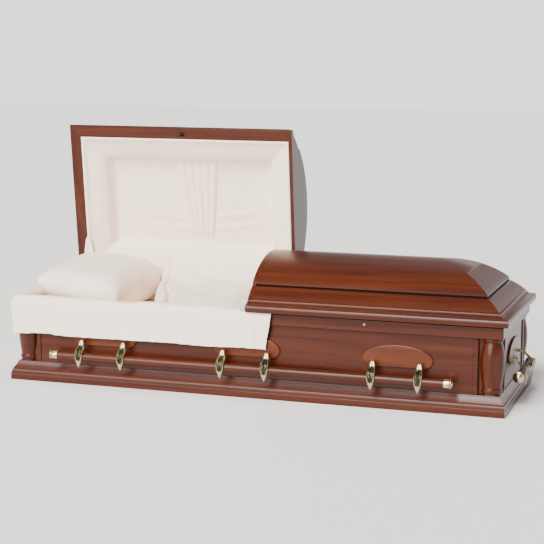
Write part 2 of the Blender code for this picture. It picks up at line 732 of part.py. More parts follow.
def make_handle(wall, out, turn, pair_places, bar_half):
    """Plaques, arms and the bar of the handle on one wall, the moving pieces on an empty at the pins."""
    pin_out = out + PLAQUE_FACE + PIN_STANDOFF
    turning = Matrix.Rotation(turn, 4, "Z")
    pins = bpy.data.objects.new("pin_line_" + wall, None)
    casket.objects.link(pins)
    pins.location = turning @ Vector((0, -pin_out, PIN_HEIGHT))
    pins.rotation_euler = (0, 0, turn)
    pattern = arm_pattern()
    for index, along in enumerate(pair_places):
        tag = wall if len(pair_places) == 1 else wall + "_" + str(index + 1)
        make_plaque("plaque_" + tag, along, out, turn)
        for side, letter in ((-1, "a"), (1, "b")):
            arm = new_object("arm", pattern.data.copy())
            place = (along + side * ARM_SPACING / 2, 0, 0)
            hand_over(arm, "arm_" + tag + "_" + letter, "brass", parent=pins, location=place)
    bpy.data.objects.remove(pattern)
    bar = turned("bar", bar_profile(bar_half), BAR_SIDES)
    moved(bar, Matrix.Rotation(math.radians(90), 4, "Y"))
    bar_place = (0, -(out + BAR_STANDOFF - pin_out), BAR_HEIGHT - PIN_HEIGHT)
    hand_over(bar, "bar_" + wall, "cherry", parent=pins, location=bar_place)


def make_bed():
    """The bed: a padded block on the plinth's inner ledge, up to the pillow."""
    reach_x = INNER_X - SKIRT_THICKNESS - BED_MARGIN
    reach_y = INNER_Y - SKIRT_THICKNESS - BED_MARGIN
    height = BED_TOP - BED_BOTTOM
    outline = inside_outline(reach_x, reach_y, SKIRT_THICKNESS + BED_MARGIN)
    bed = flat_solid("bed", [outline], height)
    top = height / 2 - 0.0001
    rounded(bed, BED_EASE, 2, lambda co: co.z > top)
    hand_over(bed, "bed", "crepe", location=(0, 0, BED_TOP - height / 2))


def make_case_skirt():
    """The fabric skirt round the inside of the case, from the bed's top to the rail's."""
    outer = inside_outline(INNER_X - GAP, INNER_Y - GAP, GAP)
    inner = inside_outline(INNER_X - SKIRT_THICKNESS, INNER_Y - SKIRT_THICKNESS, SKIRT_THICKNESS)
    low = BED_TOP - SKIRT_BELOW_BED
    high = CASE_TOP - GAP
    skirt = flat_solid("case_skirt", [outer, inner], high - low)
    hand_over(skirt, "case_skirt", "crepe", location=(0, 0, (low + high) / 2))


def cushion(name, half_x, half_y, height, levels):
    """A soft block: rectangles with cut corners at levels of (share of height, inset), joined."""
    points = []
    faces = []
    cut = CUSHION_CORNER
    for share, inset in levels:
        x, y, z = half_x - inset, half_y - inset, share * height
        points += [(-x + cut, -y, z), (x - cut, -y, z), (x, -y + cut, z), (x, y - cut, z),
                   (x - cut, y, z), (-x + cut, y, z), (-x, y - cut, z), (-x, -y + cut, z)]
    last = len(points) - 8
    for base in range(0, last, 8):
        for i in range(8):
            j = (i + 1) % 8
            faces.append((base + i, base + j, base + 8 + j, base + 8 + i))
    faces += [tuple(range(7, -1, -1)), tuple(range(last, last + 8))]
    mesh = bpy.data.meshes.new(name)
    mesh.from_pydata(points, [], faces)
    return new_object(name, mesh)


def make_pillow():
    """The pillow on the bed at the head end, domed to lie under the shut lid's lining."""
    pillow = cushion("pillow", PILLOW_LENGTH / 2, PILLOW_WIDTH / 2, PILLOW_HEIGHT, PILLOW_DOME)
    head = -(INNER_X - SKIRT_THICKNESS - BED_MARGIN)
    hand_over(pillow, "pillow", "crepe", location=(head + PILLOW_LENGTH / 2, 0, BED_TOP + GAP))


def make_throw():
    """The folded throw over the middle of the bed."""
    half_x = (THROW_RIGHT - THROW_LEFT) / 2
    half_y = INNER_Y - SKIRT_THICKNESS - BED_MARGIN - THROW_MARGIN
    throw = cushion("throw", half_x, half_y, THROW_HEIGHT, THROW_EDGE)
    hand_over(throw, "throw", "crepe", location=((THROW_LEFT + THROW_RIGHT) / 2, 0, BED_TOP + GAP))


def make_apron():
    """The overlay: a sheet over the front rail and the head rail, hanging outside to its hem."""
    inside = -(RAIL_THICKNESS + SKIRT_THICKNESS)
    drape = [
        (inside, CASE_TOP + GAP), (GAP, CASE_TOP + GAP),
        (GAP + APRON_FLARE * 0.4, (CASE_TOP + APRON_HEM) / 2), (GAP + APRON_FLARE, APRON_HEM),
    ]
    stations = [
        (Vector((APRON_RIGHT, -RAIL_Y)), Vector((0, -1))), (Vector((-RAIL_X, -RAIL_Y)), Vector((-1, -1))),
        (Vector((-RAIL_X, RAIL_Y - APRON_SHORT_OF_BACK)), Vector((-1, 0))),
    ]
    points = []
    faces = []
    for place, outward in stations:
        base = len(points)
        for reach, height in drape:
            spot = place + outward * reach
            points.append((spot.x, spot.y, height))
        if base:
            for i in range(len(drape) - 1):
                low = base - len(drape) + i
                faces.append((low, low + 1, base + i + 1, base + i))
    mesh = bpy.data.meshes.new("apron")
    mesh.from_pydata(points, [], faces)
    apron = new_object("apron", mesh)
    cloth = apron.modifiers.new("cloth", "SOLIDIFY")
    cloth.thickness = APRON_THICKNESS
    cloth.offset = -1
    cloth.use_even_offset = True
    hand_over(applied(apron), "apron", "crepe")


def build():
    """Every piece of the casket, from the plinth up."""
    clear_scene()
    make_plinth()
    make_bottom_board()
    panel("side_panel_front", CORE_X - GAP, PANEL_Y, 0.0)
    panel("side_panel_back", CORE_X - GAP, PANEL_Y, math.pi)
    panel("end_panel_foot", CORE_Y - GAP, PANEL_X, math.pi / 2)
    panel("end_panel_head", CORE_Y - GAP, PANEL_X, -math.pi / 2)
    make_corner_posts()
    make_rail("rail_front", RAIL_X, RAIL_Y, 0.0)
    make_rail("rail_back", RAIL_X, RAIL_Y, math.pi)
    make_rail("rail_foot", RAIL_Y, RAIL_X, math.pi / 2)
    make_rail("rail_head", RAIL_Y, RAIL_X, -math.pi / 2)
    pairs = (-PAIR_SPACING, 0.0, PAIR_SPACING)
    make_handle("front", PANEL_Y, 0.0, pairs, LONG_BAR_HALF)
    make_handle("back", PANEL_Y, math.pi, pairs, LONG_BAR_HALF)
    make_handle("foot", PANEL_X, math.pi / 2, (0.0,), SHORT_BAR_HALF)
    make_handle("head", PANEL_X, -math.pi / 2, (0.0,), SHORT_BAR_HALF)
    head_hinge = make_lid("head", -1, HEAD_LID_OPEN_DEG)
    make_latch_plate(head_hinge)
    make_lid("foot", 1, 0.0)
    make_keyhole()
    make_bed()
    make_case_skirt()
    make_pillow()
    make_throw()
    make_apron()


build()
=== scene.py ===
# %% [markdown]
# # A cherry half-couch casket
# This file dresses a solid model of a casket. The solids give every place and size, and each lesson
# below makes one piece or one finish as it is on the real thing. +X runs to the foot end, -Y is the
# front, and everything is in metres.

import json
import math

import bmesh
import bpy
import numpy as np
from mathutils import Matrix, Vector

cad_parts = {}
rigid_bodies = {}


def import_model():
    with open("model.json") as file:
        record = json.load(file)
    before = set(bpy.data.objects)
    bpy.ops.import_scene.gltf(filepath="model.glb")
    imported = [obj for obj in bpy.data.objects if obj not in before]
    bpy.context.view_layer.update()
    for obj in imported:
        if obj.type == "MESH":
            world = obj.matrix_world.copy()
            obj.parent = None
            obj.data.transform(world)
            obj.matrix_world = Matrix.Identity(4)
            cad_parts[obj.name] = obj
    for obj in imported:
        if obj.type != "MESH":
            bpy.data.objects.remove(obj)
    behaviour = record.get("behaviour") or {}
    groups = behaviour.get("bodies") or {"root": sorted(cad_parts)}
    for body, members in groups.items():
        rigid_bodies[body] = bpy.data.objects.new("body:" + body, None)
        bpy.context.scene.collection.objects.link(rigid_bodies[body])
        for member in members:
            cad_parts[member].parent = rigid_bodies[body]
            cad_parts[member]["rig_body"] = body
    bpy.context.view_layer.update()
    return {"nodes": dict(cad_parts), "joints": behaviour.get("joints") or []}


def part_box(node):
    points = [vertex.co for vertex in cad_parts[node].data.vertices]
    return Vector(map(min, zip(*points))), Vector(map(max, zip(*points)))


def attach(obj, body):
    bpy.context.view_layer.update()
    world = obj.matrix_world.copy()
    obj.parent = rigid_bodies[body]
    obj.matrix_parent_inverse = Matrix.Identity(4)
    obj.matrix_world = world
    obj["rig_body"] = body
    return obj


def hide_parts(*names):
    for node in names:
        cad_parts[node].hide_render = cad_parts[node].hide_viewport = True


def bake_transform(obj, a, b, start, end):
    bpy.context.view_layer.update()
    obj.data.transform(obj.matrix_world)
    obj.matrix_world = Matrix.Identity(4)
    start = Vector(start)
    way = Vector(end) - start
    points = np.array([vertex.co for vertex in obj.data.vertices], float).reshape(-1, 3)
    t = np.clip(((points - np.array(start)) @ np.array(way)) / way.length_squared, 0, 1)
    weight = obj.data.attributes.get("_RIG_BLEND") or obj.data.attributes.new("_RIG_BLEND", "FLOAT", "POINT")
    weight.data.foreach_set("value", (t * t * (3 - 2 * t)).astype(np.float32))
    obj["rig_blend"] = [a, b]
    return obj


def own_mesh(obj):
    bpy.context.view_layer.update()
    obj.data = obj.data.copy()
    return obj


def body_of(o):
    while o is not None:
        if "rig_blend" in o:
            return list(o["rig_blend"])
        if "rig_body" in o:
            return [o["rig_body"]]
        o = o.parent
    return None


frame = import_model()

# %% [markdown]
# ## Surfaces from arrays
# A surface here is a grid of points: rows along one parameter and columns along the other. Two small
# helpers turn any such grid into a mesh, so that each piece below only has to say where its points are.

# %% Mesh helpers
MILLIMETRE = 0.001
MERGE = 0.01 * MILLIMETRE


def grid_quads(rows, columns, round_rows=False, round_columns=False):
    """Four-cornered faces between neighbours on a grid, closed onto itself where asked."""
    i, j = np.meshgrid(np.arange(rows if round_rows else rows - 1),
                       np.arange(columns if round_columns else columns - 1), indexing="ij")
    next_i, next_j = (i + 1) % rows, (j + 1) % columns
    corners = (i * columns + j, next_i * columns + j, next_i * columns + next_j, i * columns + next_j)
    return np.stack(corners, axis=-1).reshape(-1, 4)


def sheet_of(points, round_rows=False, round_columns=False):
    """A (rows, columns, 3) array as a (points, quads) pair."""
    rows, columns = points.shape[:2]
    return points.reshape(-1, 3), grid_quads(rows, columns, round_rows, round_columns)


def tidy_normals(mesh):
    """Merge doubled points and turn all faces outwards."""
    shape = bmesh.new()
    shape.from_mesh(mesh)
    bmesh.ops.remove_doubles(shape, verts=shape.verts, dist=MERGE)
    bmesh.ops.recalc_face_normals(shape, faces=shape.faces)
    shape.to_mesh(mesh)
    shape.free()


def close_holes(mesh):
    """Cap every open rim with one flat face."""
    shape = bmesh.new()
    shape.from_mesh(mesh)
    bmesh.ops.holes_fill(shape, edges=[e for e in shape.edges if e.is_boundary], sides=0)
    shape.to_mesh(mesh)
    shape.free()


def piece(name, parts, material, body, capped=False, sharp_deg=40, hollow=None):
    """A finished object from (points, quads) parts: merged, turned outwards, shaded and riding on a body.

    hollow, where given, is a value for each point of the first part, kept as a mesh attribute.
    """
    start = 0
    points, quads = [], []
    for spots, faces in parts:
        points.append(spots)
        quads.append(faces + start)
        start += len(spots)
    mesh = bpy.data.meshes.new(name)
    mesh.from_pydata(np.concatenate(points).tolist(), [], np.concatenate(quads).tolist())
    if hollow is not None:
        values = np.zeros(start, np.float32)
        values[:len(hollow)] = hollow
        mesh.attributes.new("hollow", "FLOAT", "POINT").data.foreach_set("value", values)
    tidy_normals(mesh)
    if capped:
        close_holes(mesh)
        tidy_normals(mesh)
    made = bpy.data.objects.new(name, mesh)
    bpy.context.scene.collection.objects.link(made)
    mesh.materials.append(material)
    mesh.shade_smooth()
    mesh.set_sharp_from_angle(angle=math.radians(sharp_deg))
    if body:
        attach(made, body)
    return made


def smooth_line(knots, count):
    """count points on a smooth curve through the knots: Catmull-Rom pieces, joined end to end."""
    knots = np.array(knots, float)
    padded = np.vstack([2 * knots[0] - knots[1], knots, 2 * knots[-1] - knots[-2]])
    t = np.linspace(0, len(knots) - 1, count)
    i = np.minimum(t.astype(int), len(knots) - 2)
    u = (t - i)[:, None]
    a, b, c, d = padded[i], padded[i + 1], padded[i + 2], padded[i + 3]
    square, cube = 2 * a - 5 * b + 4 * c - d, 3 * b - a - 3 * c + d
    return 0.5 * (2 * b + (c - a) * u + square * u ** 2 + cube * u ** 3)


def step(x, low, high):
    """0 below low, 1 above high, and a smooth S between them."""
    t = np.clip((x - low) / (high - low), 0, 1)
    return t * t * (3 - 2 * t)


def soft_noise(x, y, scale, seed):
    """Gentle bumps from -1 to 1: the mean of eight sine waves of random heading, scale metres long."""
    draw = np.random.default_rng(seed)
    heading = draw.uniform(0, 2 * np.pi, 8)
    length = scale * draw.uniform(0.6, 1.7, 8)
    phase = draw.uniform(0, 2 * np.pi, 8)
    turned = x[..., None] * np.cos(heading) + y[..., None] * np.sin(heading)
    return np.sin(2 * np.pi * turned / length + phase).mean(axis=-1) * 1.8


print("helpers ready")

# %% [markdown]
# ## Colours and nodes
# Paint and stain are named by the hex value that a colour chart gives, and Blender wants linear light,
# so one function converts them. Another adds a node, sets it and wires it in one call.

# %% Node helpers


def linear(hex_value):
    """sRGB hex to linear light: c / 12.92 below 0.04045, else ((c + 0.055) / 1.055) ** 2.4."""
    channels = np.array([int(hex_value[i:i + 2], 16) for i in (1, 3, 5)]) / 255
    bright = np.where(channels <= 0.04045, channels / 12.92, ((channels + 0.055) / 1.055) ** 2.4)
    return (*bright.tolist(), 1.0)


def node(tree, kind, inputs, **settings):
    """Add a shader node. inputs maps a socket's name or number to a value or to the socket that feeds it."""
    made = tree.nodes.new("ShaderNode" + kind)
    for name, value in settings.items():
        setattr(made, name, value)
    for name, value in inputs.items():
        if isinstance(value, bpy.types.NodeSocket):
            tree.links.new(value, made.inputs[name])
        else:
            made.inputs[name].default_value = value
    return made


def bare_material(name, roughness, metallic=0.0):
    """A new Principled material, its node tree and its shader."""
    material = bpy.data.materials.new(name)
    material.use_nodes = True
    tree = material.node_tree
    shader = tree.nodes["Principled BSDF"]
    shader.inputs["Roughness"].default_value = roughness
    shader.inputs["Metallic"].default_value = metallic
    return material, tree, shader


print("node helpers ready")

# %% [markdown]
# ## Cherry under lacquer
# The case is cherry, stained red-brown, sprayed with clear lacquer and rubbed to a satin gloss. Solid
# cherry has a quiet grain: long streaks a few centimetres wide, and fine pores under a millimetre. The
# boards run along the casket on its long sides, across it at its ends and upright in the posts, so the
# same recipe is made three times with the pattern stretched along X, Y or Z. The plaques take a lighter
# copy of it, which is painted light: it makes them look more brightly lit than the panels. The pores are
# too fine to show at arm's length and are drawn about three times as coarse as they are.

# %% Cherry lacquer
CHERRY_DARK = "#1e0904"
CHERRY_MID = "#3a1205"
CHERRY_LIGHT = "#50210a"
# The plaques' two tones: the same cherry made lighter, as painted light.
PLAQUE_MID_PAINTED_LIT = "#4f200b"
PLAQUE_LIGHT_PAINTED_LIT = "#683010"
STREAK_WIDTH = 0.030
STREAK_LENGTH = 0.700
PORE_WIDTH = 0.0022
PORE_LENGTH = 0.060


def cherry(grain, mid=CHERRY_MID, light=CHERRY_LIGHT, board=""):
    """Lacquered cherry whose fibres run along the grain axis, 0 for X, 1 for Y and 2 for Z."""
    material, tree, shader = bare_material("lacquered_cherry_along_" + "xyz"[grain] + board, 0.30)
    place = node(tree, "TexCoord", {})
    streak_scale = [1 / STREAK_WIDTH] * 3
    pore_scale = [1 / PORE_WIDTH] * 3
    streak_scale[grain] = 1 / STREAK_LENGTH
    pore_scale[grain] = 1 / PORE_LENGTH
    streak_place = node(tree, "Mapping", {"Vector": place.outputs["Object"], "Scale": streak_scale})
    pore_place = node(tree, "Mapping", {"Vector": place.outputs["Object"], "Scale": pore_scale})
    streak = node(tree, "TexNoise", {"Vector": streak_place.outputs[0], "Scale": 1.0, "Detail": 4.0,
                                     "Roughness": 0.55, "Distortion": 0.6})
    pore = node(tree, "TexNoise", {"Vector": pore_place.outputs[0], "Scale": 1.0, "Detail": 2.0})
    broad = node(tree, "TexNoise", {"Vector": place.outputs["Object"], "Scale": 2.2, "Detail": 1.0})
    streak_share = node(tree, "MapRange", {"Value": streak.outputs[0], "From Min": 0.32, "From Max": 0.70})
    toned = node(tree, "Mix", {0: streak_share.outputs[0], 6: linear(mid), 7: linear(light)},
                 data_type="RGBA")
    pore_share = node(tree, "MapRange", {"Value": pore.outputs[0], "From Min": 0.56, "From Max": 0.78,
                                         "To Max": 0.26})
    pored = node(tree, "Mix", {0: pore_share.outputs[0], 6: toned.outputs[2], 7: linear(CHERRY_DARK)},
                 data_type="RGBA")
    broad_share = node(tree, "MapRange", {"Value": broad.outputs[0], "From Min": 0.40, "From Max": 0.80,
                                          "To Max": 0.25})
    stained = node(tree, "Mix", {0: broad_share.outputs[0], 6: pored.outputs[2], 7: linear(CHERRY_DARK)},
                   data_type="RGBA")
    tree.links.new(stained.outputs[2], shader.inputs["Base Color"])
    gloss = node(tree, "MapRange", {"Value": streak.outputs[0], "To Min": 0.24, "To Max": 0.36})
    tree.links.new(gloss.outputs[0], shader.inputs["Roughness"])
    relief = node(tree, "Bump", {"Height": pore.outputs[0], "Strength": 0.08, "Distance": 0.0003})
    tree.links.new(relief.outputs[0], shader.inputs["Normal"])
    shader.inputs["Specular IOR Level"].default_value = 0.20
    shader.inputs["Coat Weight"].default_value = 0.12
    shader.inputs["Coat Roughness"].default_value = 0.12
    return material


CHERRY_X, CHERRY_Y, CHERRY_Z = cherry(0), cherry(1), cherry(2)
# Lighter copies of the cherry for the plaques: painted light that makes them look more brightly lit.
PLAQUE_PAINTED_LIT_X, PLAQUE_PAINTED_LIT_Y = (cherry(grain, PLAQUE_MID_PAINTED_LIT, PLAQUE_LIGHT_PAINTED_LIT, "_plaque") for grain in (0, 1))
# Painted shade for the recess under the crown: near-black and barely glossy.
GROOVE_SHADE_PAINT, _, groove_shade_shader = bare_material("dark_glaze_in_groove", 0.55)
groove_shade_shader.inputs["Base Color"].default_value = linear("#120503")
groove_shade_shader.inputs["Specular IOR Level"].default_value = 0.05
# The groove's dark material is painted shade.
print("cherry in three directions, and glaze")

# %% [markdown]
# ## Antique brass
# The hardware is brass that was darkened in a bath and then buffed, so the high spots are bright and
# the hollows stay olive brown. The pieces carry a value named hollow at each point, 0 on what the buff
# reached and 1 in the ground, and the material mixes the two finishes by it. On the leaf arms the dark
# ground also covers the bowed middle, as painted reflection of dark surroundings.

# %% Brass
BRASS_BRIGHT = "#c4b68f"
BRASS_GROUND = "#1d1a0f"


def antique_brass():
    """Buffed brass over a dark ground, mixed by the mesh's hollow value."""
    material, tree, shader = bare_material("antiqued_brass", 0.25, 1.0)
    place = node(tree, "TexCoord", {})
    hollow = node(tree, "Attribute", {}, attribute_name="hollow")
    patches = node(tree, "TexNoise", {"Vector": place.outputs["Object"], "Scale": 220.0, "Detail": 3.0})
    worn = node(tree, "MapRange", {"Value": patches.outputs[0], "From Min": 0.35, "From Max": 0.65,
                                   "To Min": -0.18, "To Max": 0.18})
    share = node(tree, "Math", {0: hollow.outputs["Fac"], 1: worn.outputs[0]}, operation="ADD",
                 use_clamp=True)
    colour = node(tree, "Mix", {0: share.outputs[0], 6: linear(BRASS_BRIGHT), 7: linear(BRASS_GROUND)},
                  data_type="RGBA")
    tree.links.new(colour.outputs[2], shader.inputs["Base Color"])
    gloss = node(tree, "MapRange", {"Value": share.outputs[0], "To Min": 0.20, "To Max": 0.42})
    tree.links.new(gloss.outputs[0], shader.inputs["Roughness"])
    return material


BRASS = antique_brass()
print("brass ready")

# %% [markdown]
# ## Ivory crepe
# The lining is crepe: a light cloth of hard-twisted yarn whose surface is covered in fine crinkles about
# a millimetre apart. That scatters light softly, so the cloth has no gloss, only a pale bloom at its
# edges. The crinkle is a stretched noise that drives a bump, with a second, wider one for the hand of
# the cloth.

# %% Crepe
CREPE_LIGHT = "#ffefdd"
CREPE_SHADE = "#f8e0ca"
CRINKLE = 0.0016


def ivory_crepe():
    """Matt ivory cloth with a fine crinkle."""
    material, tree, shader = bare_material("ivory_crepe_weave", 0.92)
    place = node(tree, "TexCoord", {})
    crinkle_place = node(tree, "Mapping", {"Vector": place.outputs["Object"],
                                           "Scale": [0.45 / CRINKLE, 1 / CRINKLE, 1 / CRINKLE]})
    crinkle = node(tree, "TexNoise", {"Vector": crinkle_place.outputs[0], "Scale": 1.0, "Detail": 3.0,
                                      "Distortion": 0.8})
    drape = node(tree, "TexNoise", {"Vector": place.outputs["Object"], "Scale": 24.0, "Detail": 2.0})
    # The crinkles' low parts take the darker colour: painted shade in the crinkles.
    colour = node(tree, "Mix", {0: crinkle.outputs[0], 6: linear(CREPE_SHADE), 7: linear(CREPE_LIGHT)},
                  data_type="RGBA")
    tree.links.new(colour.outputs[2], shader.inputs["Base Color"])
    wide = node(tree, "Bump", {"Height": drape.outputs[0], "Strength": 0.25, "Distance": 0.003})
    fine = node(tree, "Bump", {"Height": crinkle.outputs[0], "Strength": 0.35, "Distance": 0.0006,
                               "Normal": wide.outputs[0]})
    tree.links.new(fine.outputs[0], shader.inputs["Normal"])
    shader.inputs["Sheen Weight"].default_value = 0.15
    shader.inputs["Sheen Roughness"].default_value = 0.5
    shader.inputs["Specular IOR Level"].default_value = 0.2
    return material


CREPE = ivory_crepe()
print("crepe ready")

# %% [markdown]
# ## Profiles and frames
# Rails, plinths and lids are lengths of one moulding, mitred at the corners. In code that is one outline
# of (inset, height) points carried round a rectangle: at each corner both coordinates are drawn in by
# the inset, which is exactly what a 45 degree mitre does.

# %% Mouldings


def arc(centre, radii, start_deg, end_deg, count):
    """count points on an ellipse's arc: centre + radii * (cos, sin)."""
    turn = np.radians(np.linspace(start_deg, end_deg, count))
    return np.stack([centre[0] + radii[0] * np.cos(turn), centre[1] + radii[1] * np.sin(turn)], axis=-1)


def round_frame(outline, half_x, half_y):
    """An outline carried round a whole rectangle: corner (x, y) becomes (x, y) less the inset."""
    signs = np.array([(-1, -1), (1, -1), (1, 1), (-1, 1)])
    inset, height = outline[:, 0, None], outline[:, 1, None]
    x = signs[None, :, 0] * (half_x - inset)
    y = signs[None, :, 1] * (half_y - inset)
    return np.stack([x, y, np.broadcast_to(height, x.shape)], axis=-1)


def three_sides(outline, start_x, half_x, half_y):
    """An outline carried along the front, the +X end and the back, square at start_x."""
    inset, height = outline[:, 0, None], outline[:, 1, None]
    far, side = half_x - inset, half_y - inset
    start = np.full_like(far, start_x)
    x = np.concatenate([start, far, far, start], axis=1)
    y = np.concatenate([-side, -side, side, side], axis=1)
    return np.stack([x, y, np.broadcast_to(height, x.shape)], axis=-1)


print("moulding functions ready")

# %% [markdown]
# ## The plinth
# The casket stands on a moulded skirting: a flat fascia with a thin band set back above it, a quarter
# round, a small fillet and a shallow cove that runs up to the walls. It is closed round its own inside
# wall and underside, as the sawn lengths are.

# %% Plinth
PLINTH_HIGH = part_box("plinth")[1]
PLINTH_TOP = PLINTH_HIGH.z
FASCIA = 0.034
ROUND_WIDTH, ROUND_HEIGHT = 0.008, 0.012
FILLET = 0.004
PLINTH_SLOPE = 0.026
PLINTH_WALL = 0.075
EASE = 0.0012
COVE_RISE = PLINTH_TOP - FASCIA - ROUND_HEIGHT - FILLET
COVE_SAG = 0.0015
BAND_LOW = 0.0250
BAND_INSET = 0.0025


def plinth_outline():
    """Bottom, fascia, band, quarter round, fillet, cove, top and inside wall as one closed outline.

    The cove is a straight chord drawn in by the sag times 4 s (1 - s), s being the share of its length.
    """
    cove_foot = PLINTH_TOP - COVE_RISE
    share = np.linspace(0, 1, 12)[:, None]
    chord = np.array((PLINTH_SLOPE - ROUND_WIDTH, COVE_RISE))
    sag = np.array((COVE_RISE, ROUND_WIDTH - PLINTH_SLOPE)) / np.linalg.norm(chord) * COVE_SAG
    cove = np.array((ROUND_WIDTH, cove_foot)) + chord * share + sag * 4 * share * (1 - share)
    return np.vstack([
        [(PLINTH_WALL, 0)], arc((EASE, EASE), (EASE, EASE), 270, 180, 4),
        arc((BAND_INSET, BAND_LOW), (BAND_INSET, BAND_INSET), 180, 100, 5),
        arc((ROUND_WIDTH, FASCIA), (ROUND_WIDTH - BAND_INSET, ROUND_HEIGHT), 180, 90, 9),
        cove, [(PLINTH_WALL, PLINTH_TOP)],
    ])


plinth_points = round_frame(plinth_outline(), PLINTH_HIGH.x, PLINTH_HIGH.y)
plinth_skin = sheet_of(plinth_points, round_rows=True, round_columns=True)
plinth = piece("plinth_moulding", [plinth_skin], CHERRY_X, "case", sharp_deg=25)
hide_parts("plinth")
print("plinth", len(plinth.data.vertices), "points")

# %% [markdown]
# ## The lids
# Each lid is a rim moulding under a crown. From its edge the rim has a bullnose, a cove, a small bead and
# a long swelling slope; then a dark step, and the crown springs from it as an arc. The end is hipped at
# the same section, so the moulding is carried along three sides and meets itself on mitre lines. The
# inside is hollow, with the flat stile that shows round the lining when the lid stands open.

# %% Lid shells
LID_LOW, LID_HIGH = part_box("lid_shell_foot")
RIM_Z = LID_LOW.z
LID_HALF_X, LID_HALF_Y = LID_HIGH.x, LID_HIGH.y
LID_RISE = LID_HIGH.z - RIM_Z
SHELL_START = LID_LOW.x
MOULDING = 0.100
CROWN_RADIUS = 0.388
CROWN_WALL = 0.012
CROWN_STEP = 0.0153
SHADE_BAND_HEIGHT = 0.0085
STILE = 0.060
CROWN_POINTS = 40
HEAD_HINGE = next(j for j in frame["joints"] if j["name"] == "head_lid_hinge")
HINGE_POINT = np.array(HEAD_HINGE["pos_m"], float)
OPEN_DEG = 83.0


def crown_line(inset, wall):
    """The crown's arc from an inset to the ridge, wall below its face: z = centre + sqrt(r^2 - y^2)."""
    y = np.linspace(LID_HALF_Y - inset, 0, CROWN_POINTS)
    radius = CROWN_RADIUS - wall
    return np.stack([LID_HALF_Y - y, LID_RISE - CROWN_RADIUS + np.sqrt(radius ** 2 - y ** 2)], axis=-1)


def rim_outline():
    """The outside from the rim's lower edge to the ridge, as (inset, height over the rim plane)."""
    crown = crown_line(MOULDING, 0.0)
    groove = (MOULDING, crown[0, 1] - CROWN_STEP)
    slope_foot, slope_head = np.array((0.038, 0.0475)), np.array((MOULDING - 0.004, groove[1] + 0.001))
    share = np.linspace(0, 1, 12)[:, None]
    swell = 0.0016 * np.sin(np.pi * share)
    slope = slope_foot + (slope_head - slope_foot) * share + np.hstack([-swell, swell])
    cove = smooth_line([(0.010, 0.030), (0.0195, 0.0320), (0.0275, 0.0355), (0.034, 0.0395)], 10)[1:]
    bead = arc((0.0385, 0.0435), (0.0042, 0.0040), 170, 95, 5)
    lip = arc((MOULDING - 0.0028, groove[1] - 0.0018), (0.0028, 0.0028), 100, 20, 5)
    return np.vstack([
        arc((0.0025, 0.0015), (0.0018, 0.0015), 270, 200, 4),
        arc((0.010, 0.0155), (0.012, 0.0145), 205, 90, 14), cove, bead, slope[1:-1], lip,
        # The top of the painted-shade band on the step is a point of its own.
        [(MOULDING, groove[1] - 0.002), (MOULDING, groove[1]), (MOULDING, groove[1] + SHADE_BAND_HEIGHT)],
        [(MOULDING, crown[0, 1] - 0.0015)], crown[1:],
    ])


def lid_inside():
    """The inside from the ridge back down to the stile's inner edge."""
    arc_inset = MOULDING + CROWN_WALL
    crown = crown_line(arc_inset, CROWN_WALL)
    return np.vstack([crown[::-4], [(arc_inset, crown[0, 1] - 0.020), (STILE, 0.030), (STILE, 0.0)]])


def head_place(points):
    """Foot-end coordinates over the rim plane to the open head lid: turned half round, seated, swung back."""
    flat = points.reshape(-1, 3) * (-1, -1, 1) + (0, 0, RIM_Z) - HINGE_POINT
    c, s = math.cos(math.radians(-OPEN_DEG)), math.sin(math.radians(-OPEN_DEG))
    swung = np.stack([flat[:, 0], flat[:, 1] * c - flat[:, 2] * s, flat[:, 1] * s + flat[:, 2] * c], axis=-1)
    return (swung + HINGE_POINT).reshape(points.shape)


def foot_place(points):
    """Foot-end coordinates over the rim plane to the shut foot lid."""
    return points + np.array((0, 0, RIM_Z))


LIDS = (("head", head_place), ("foot", foot_place))
lid_section = np.vstack([rim_outline(), lid_inside()])
for end, place in LIDS:
    spots, quads = sheet_of(three_sides(lid_section, SHELL_START, LID_HALF_X, LID_HALF_Y), round_rows=True)
    # Faces that lie wholly in the middle plane would be a wall inside the wood, so they are left out.
    quads = quads[np.abs(spots[quads][:, :, 1]).max(axis=1) > MERGE]
    skin = [(place(spots), quads)]
    shell = piece("lid_shell_wood_" + end, skin, CHERRY_X, end + "_lid", capped=True, sharp_deg=32)
    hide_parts("lid_shell_" + end)
    print(shell.name, len(shell.data.vertices), "points")

# %% [markdown]
# ## Boards, rails and headers
# The flat woodwork is already right in the solids: walls with a thin pilaster at each end, top rails
# mitred at the corners, and a header board across each lid where the two lids meet. A joiner takes the
# sharpness off every edge with a sanding block, and that thin rounded edge is what catches the light.
# So each board is copied, its triangles are merged, and a narrow bevel rounds its edges.

# %% Woodwork
SANDED_EDGE = 0.0010
BOARDS = {
    "side_panel_front": CHERRY_X, "side_panel_back": CHERRY_X, "rail_front": CHERRY_X, "rail_back": CHERRY_X,
    "end_panel_head": CHERRY_Y, "end_panel_foot": CHERRY_Y, "rail_head": CHERRY_Y, "rail_foot": CHERRY_Y,
    "header_head": CHERRY_Y, "header_foot": CHERRY_Y, "bottom_board": CHERRY_X,
}


def body_of_node(name):
    """The body that a solid rides on."""
    return body_of(frame["nodes"][name])[0]


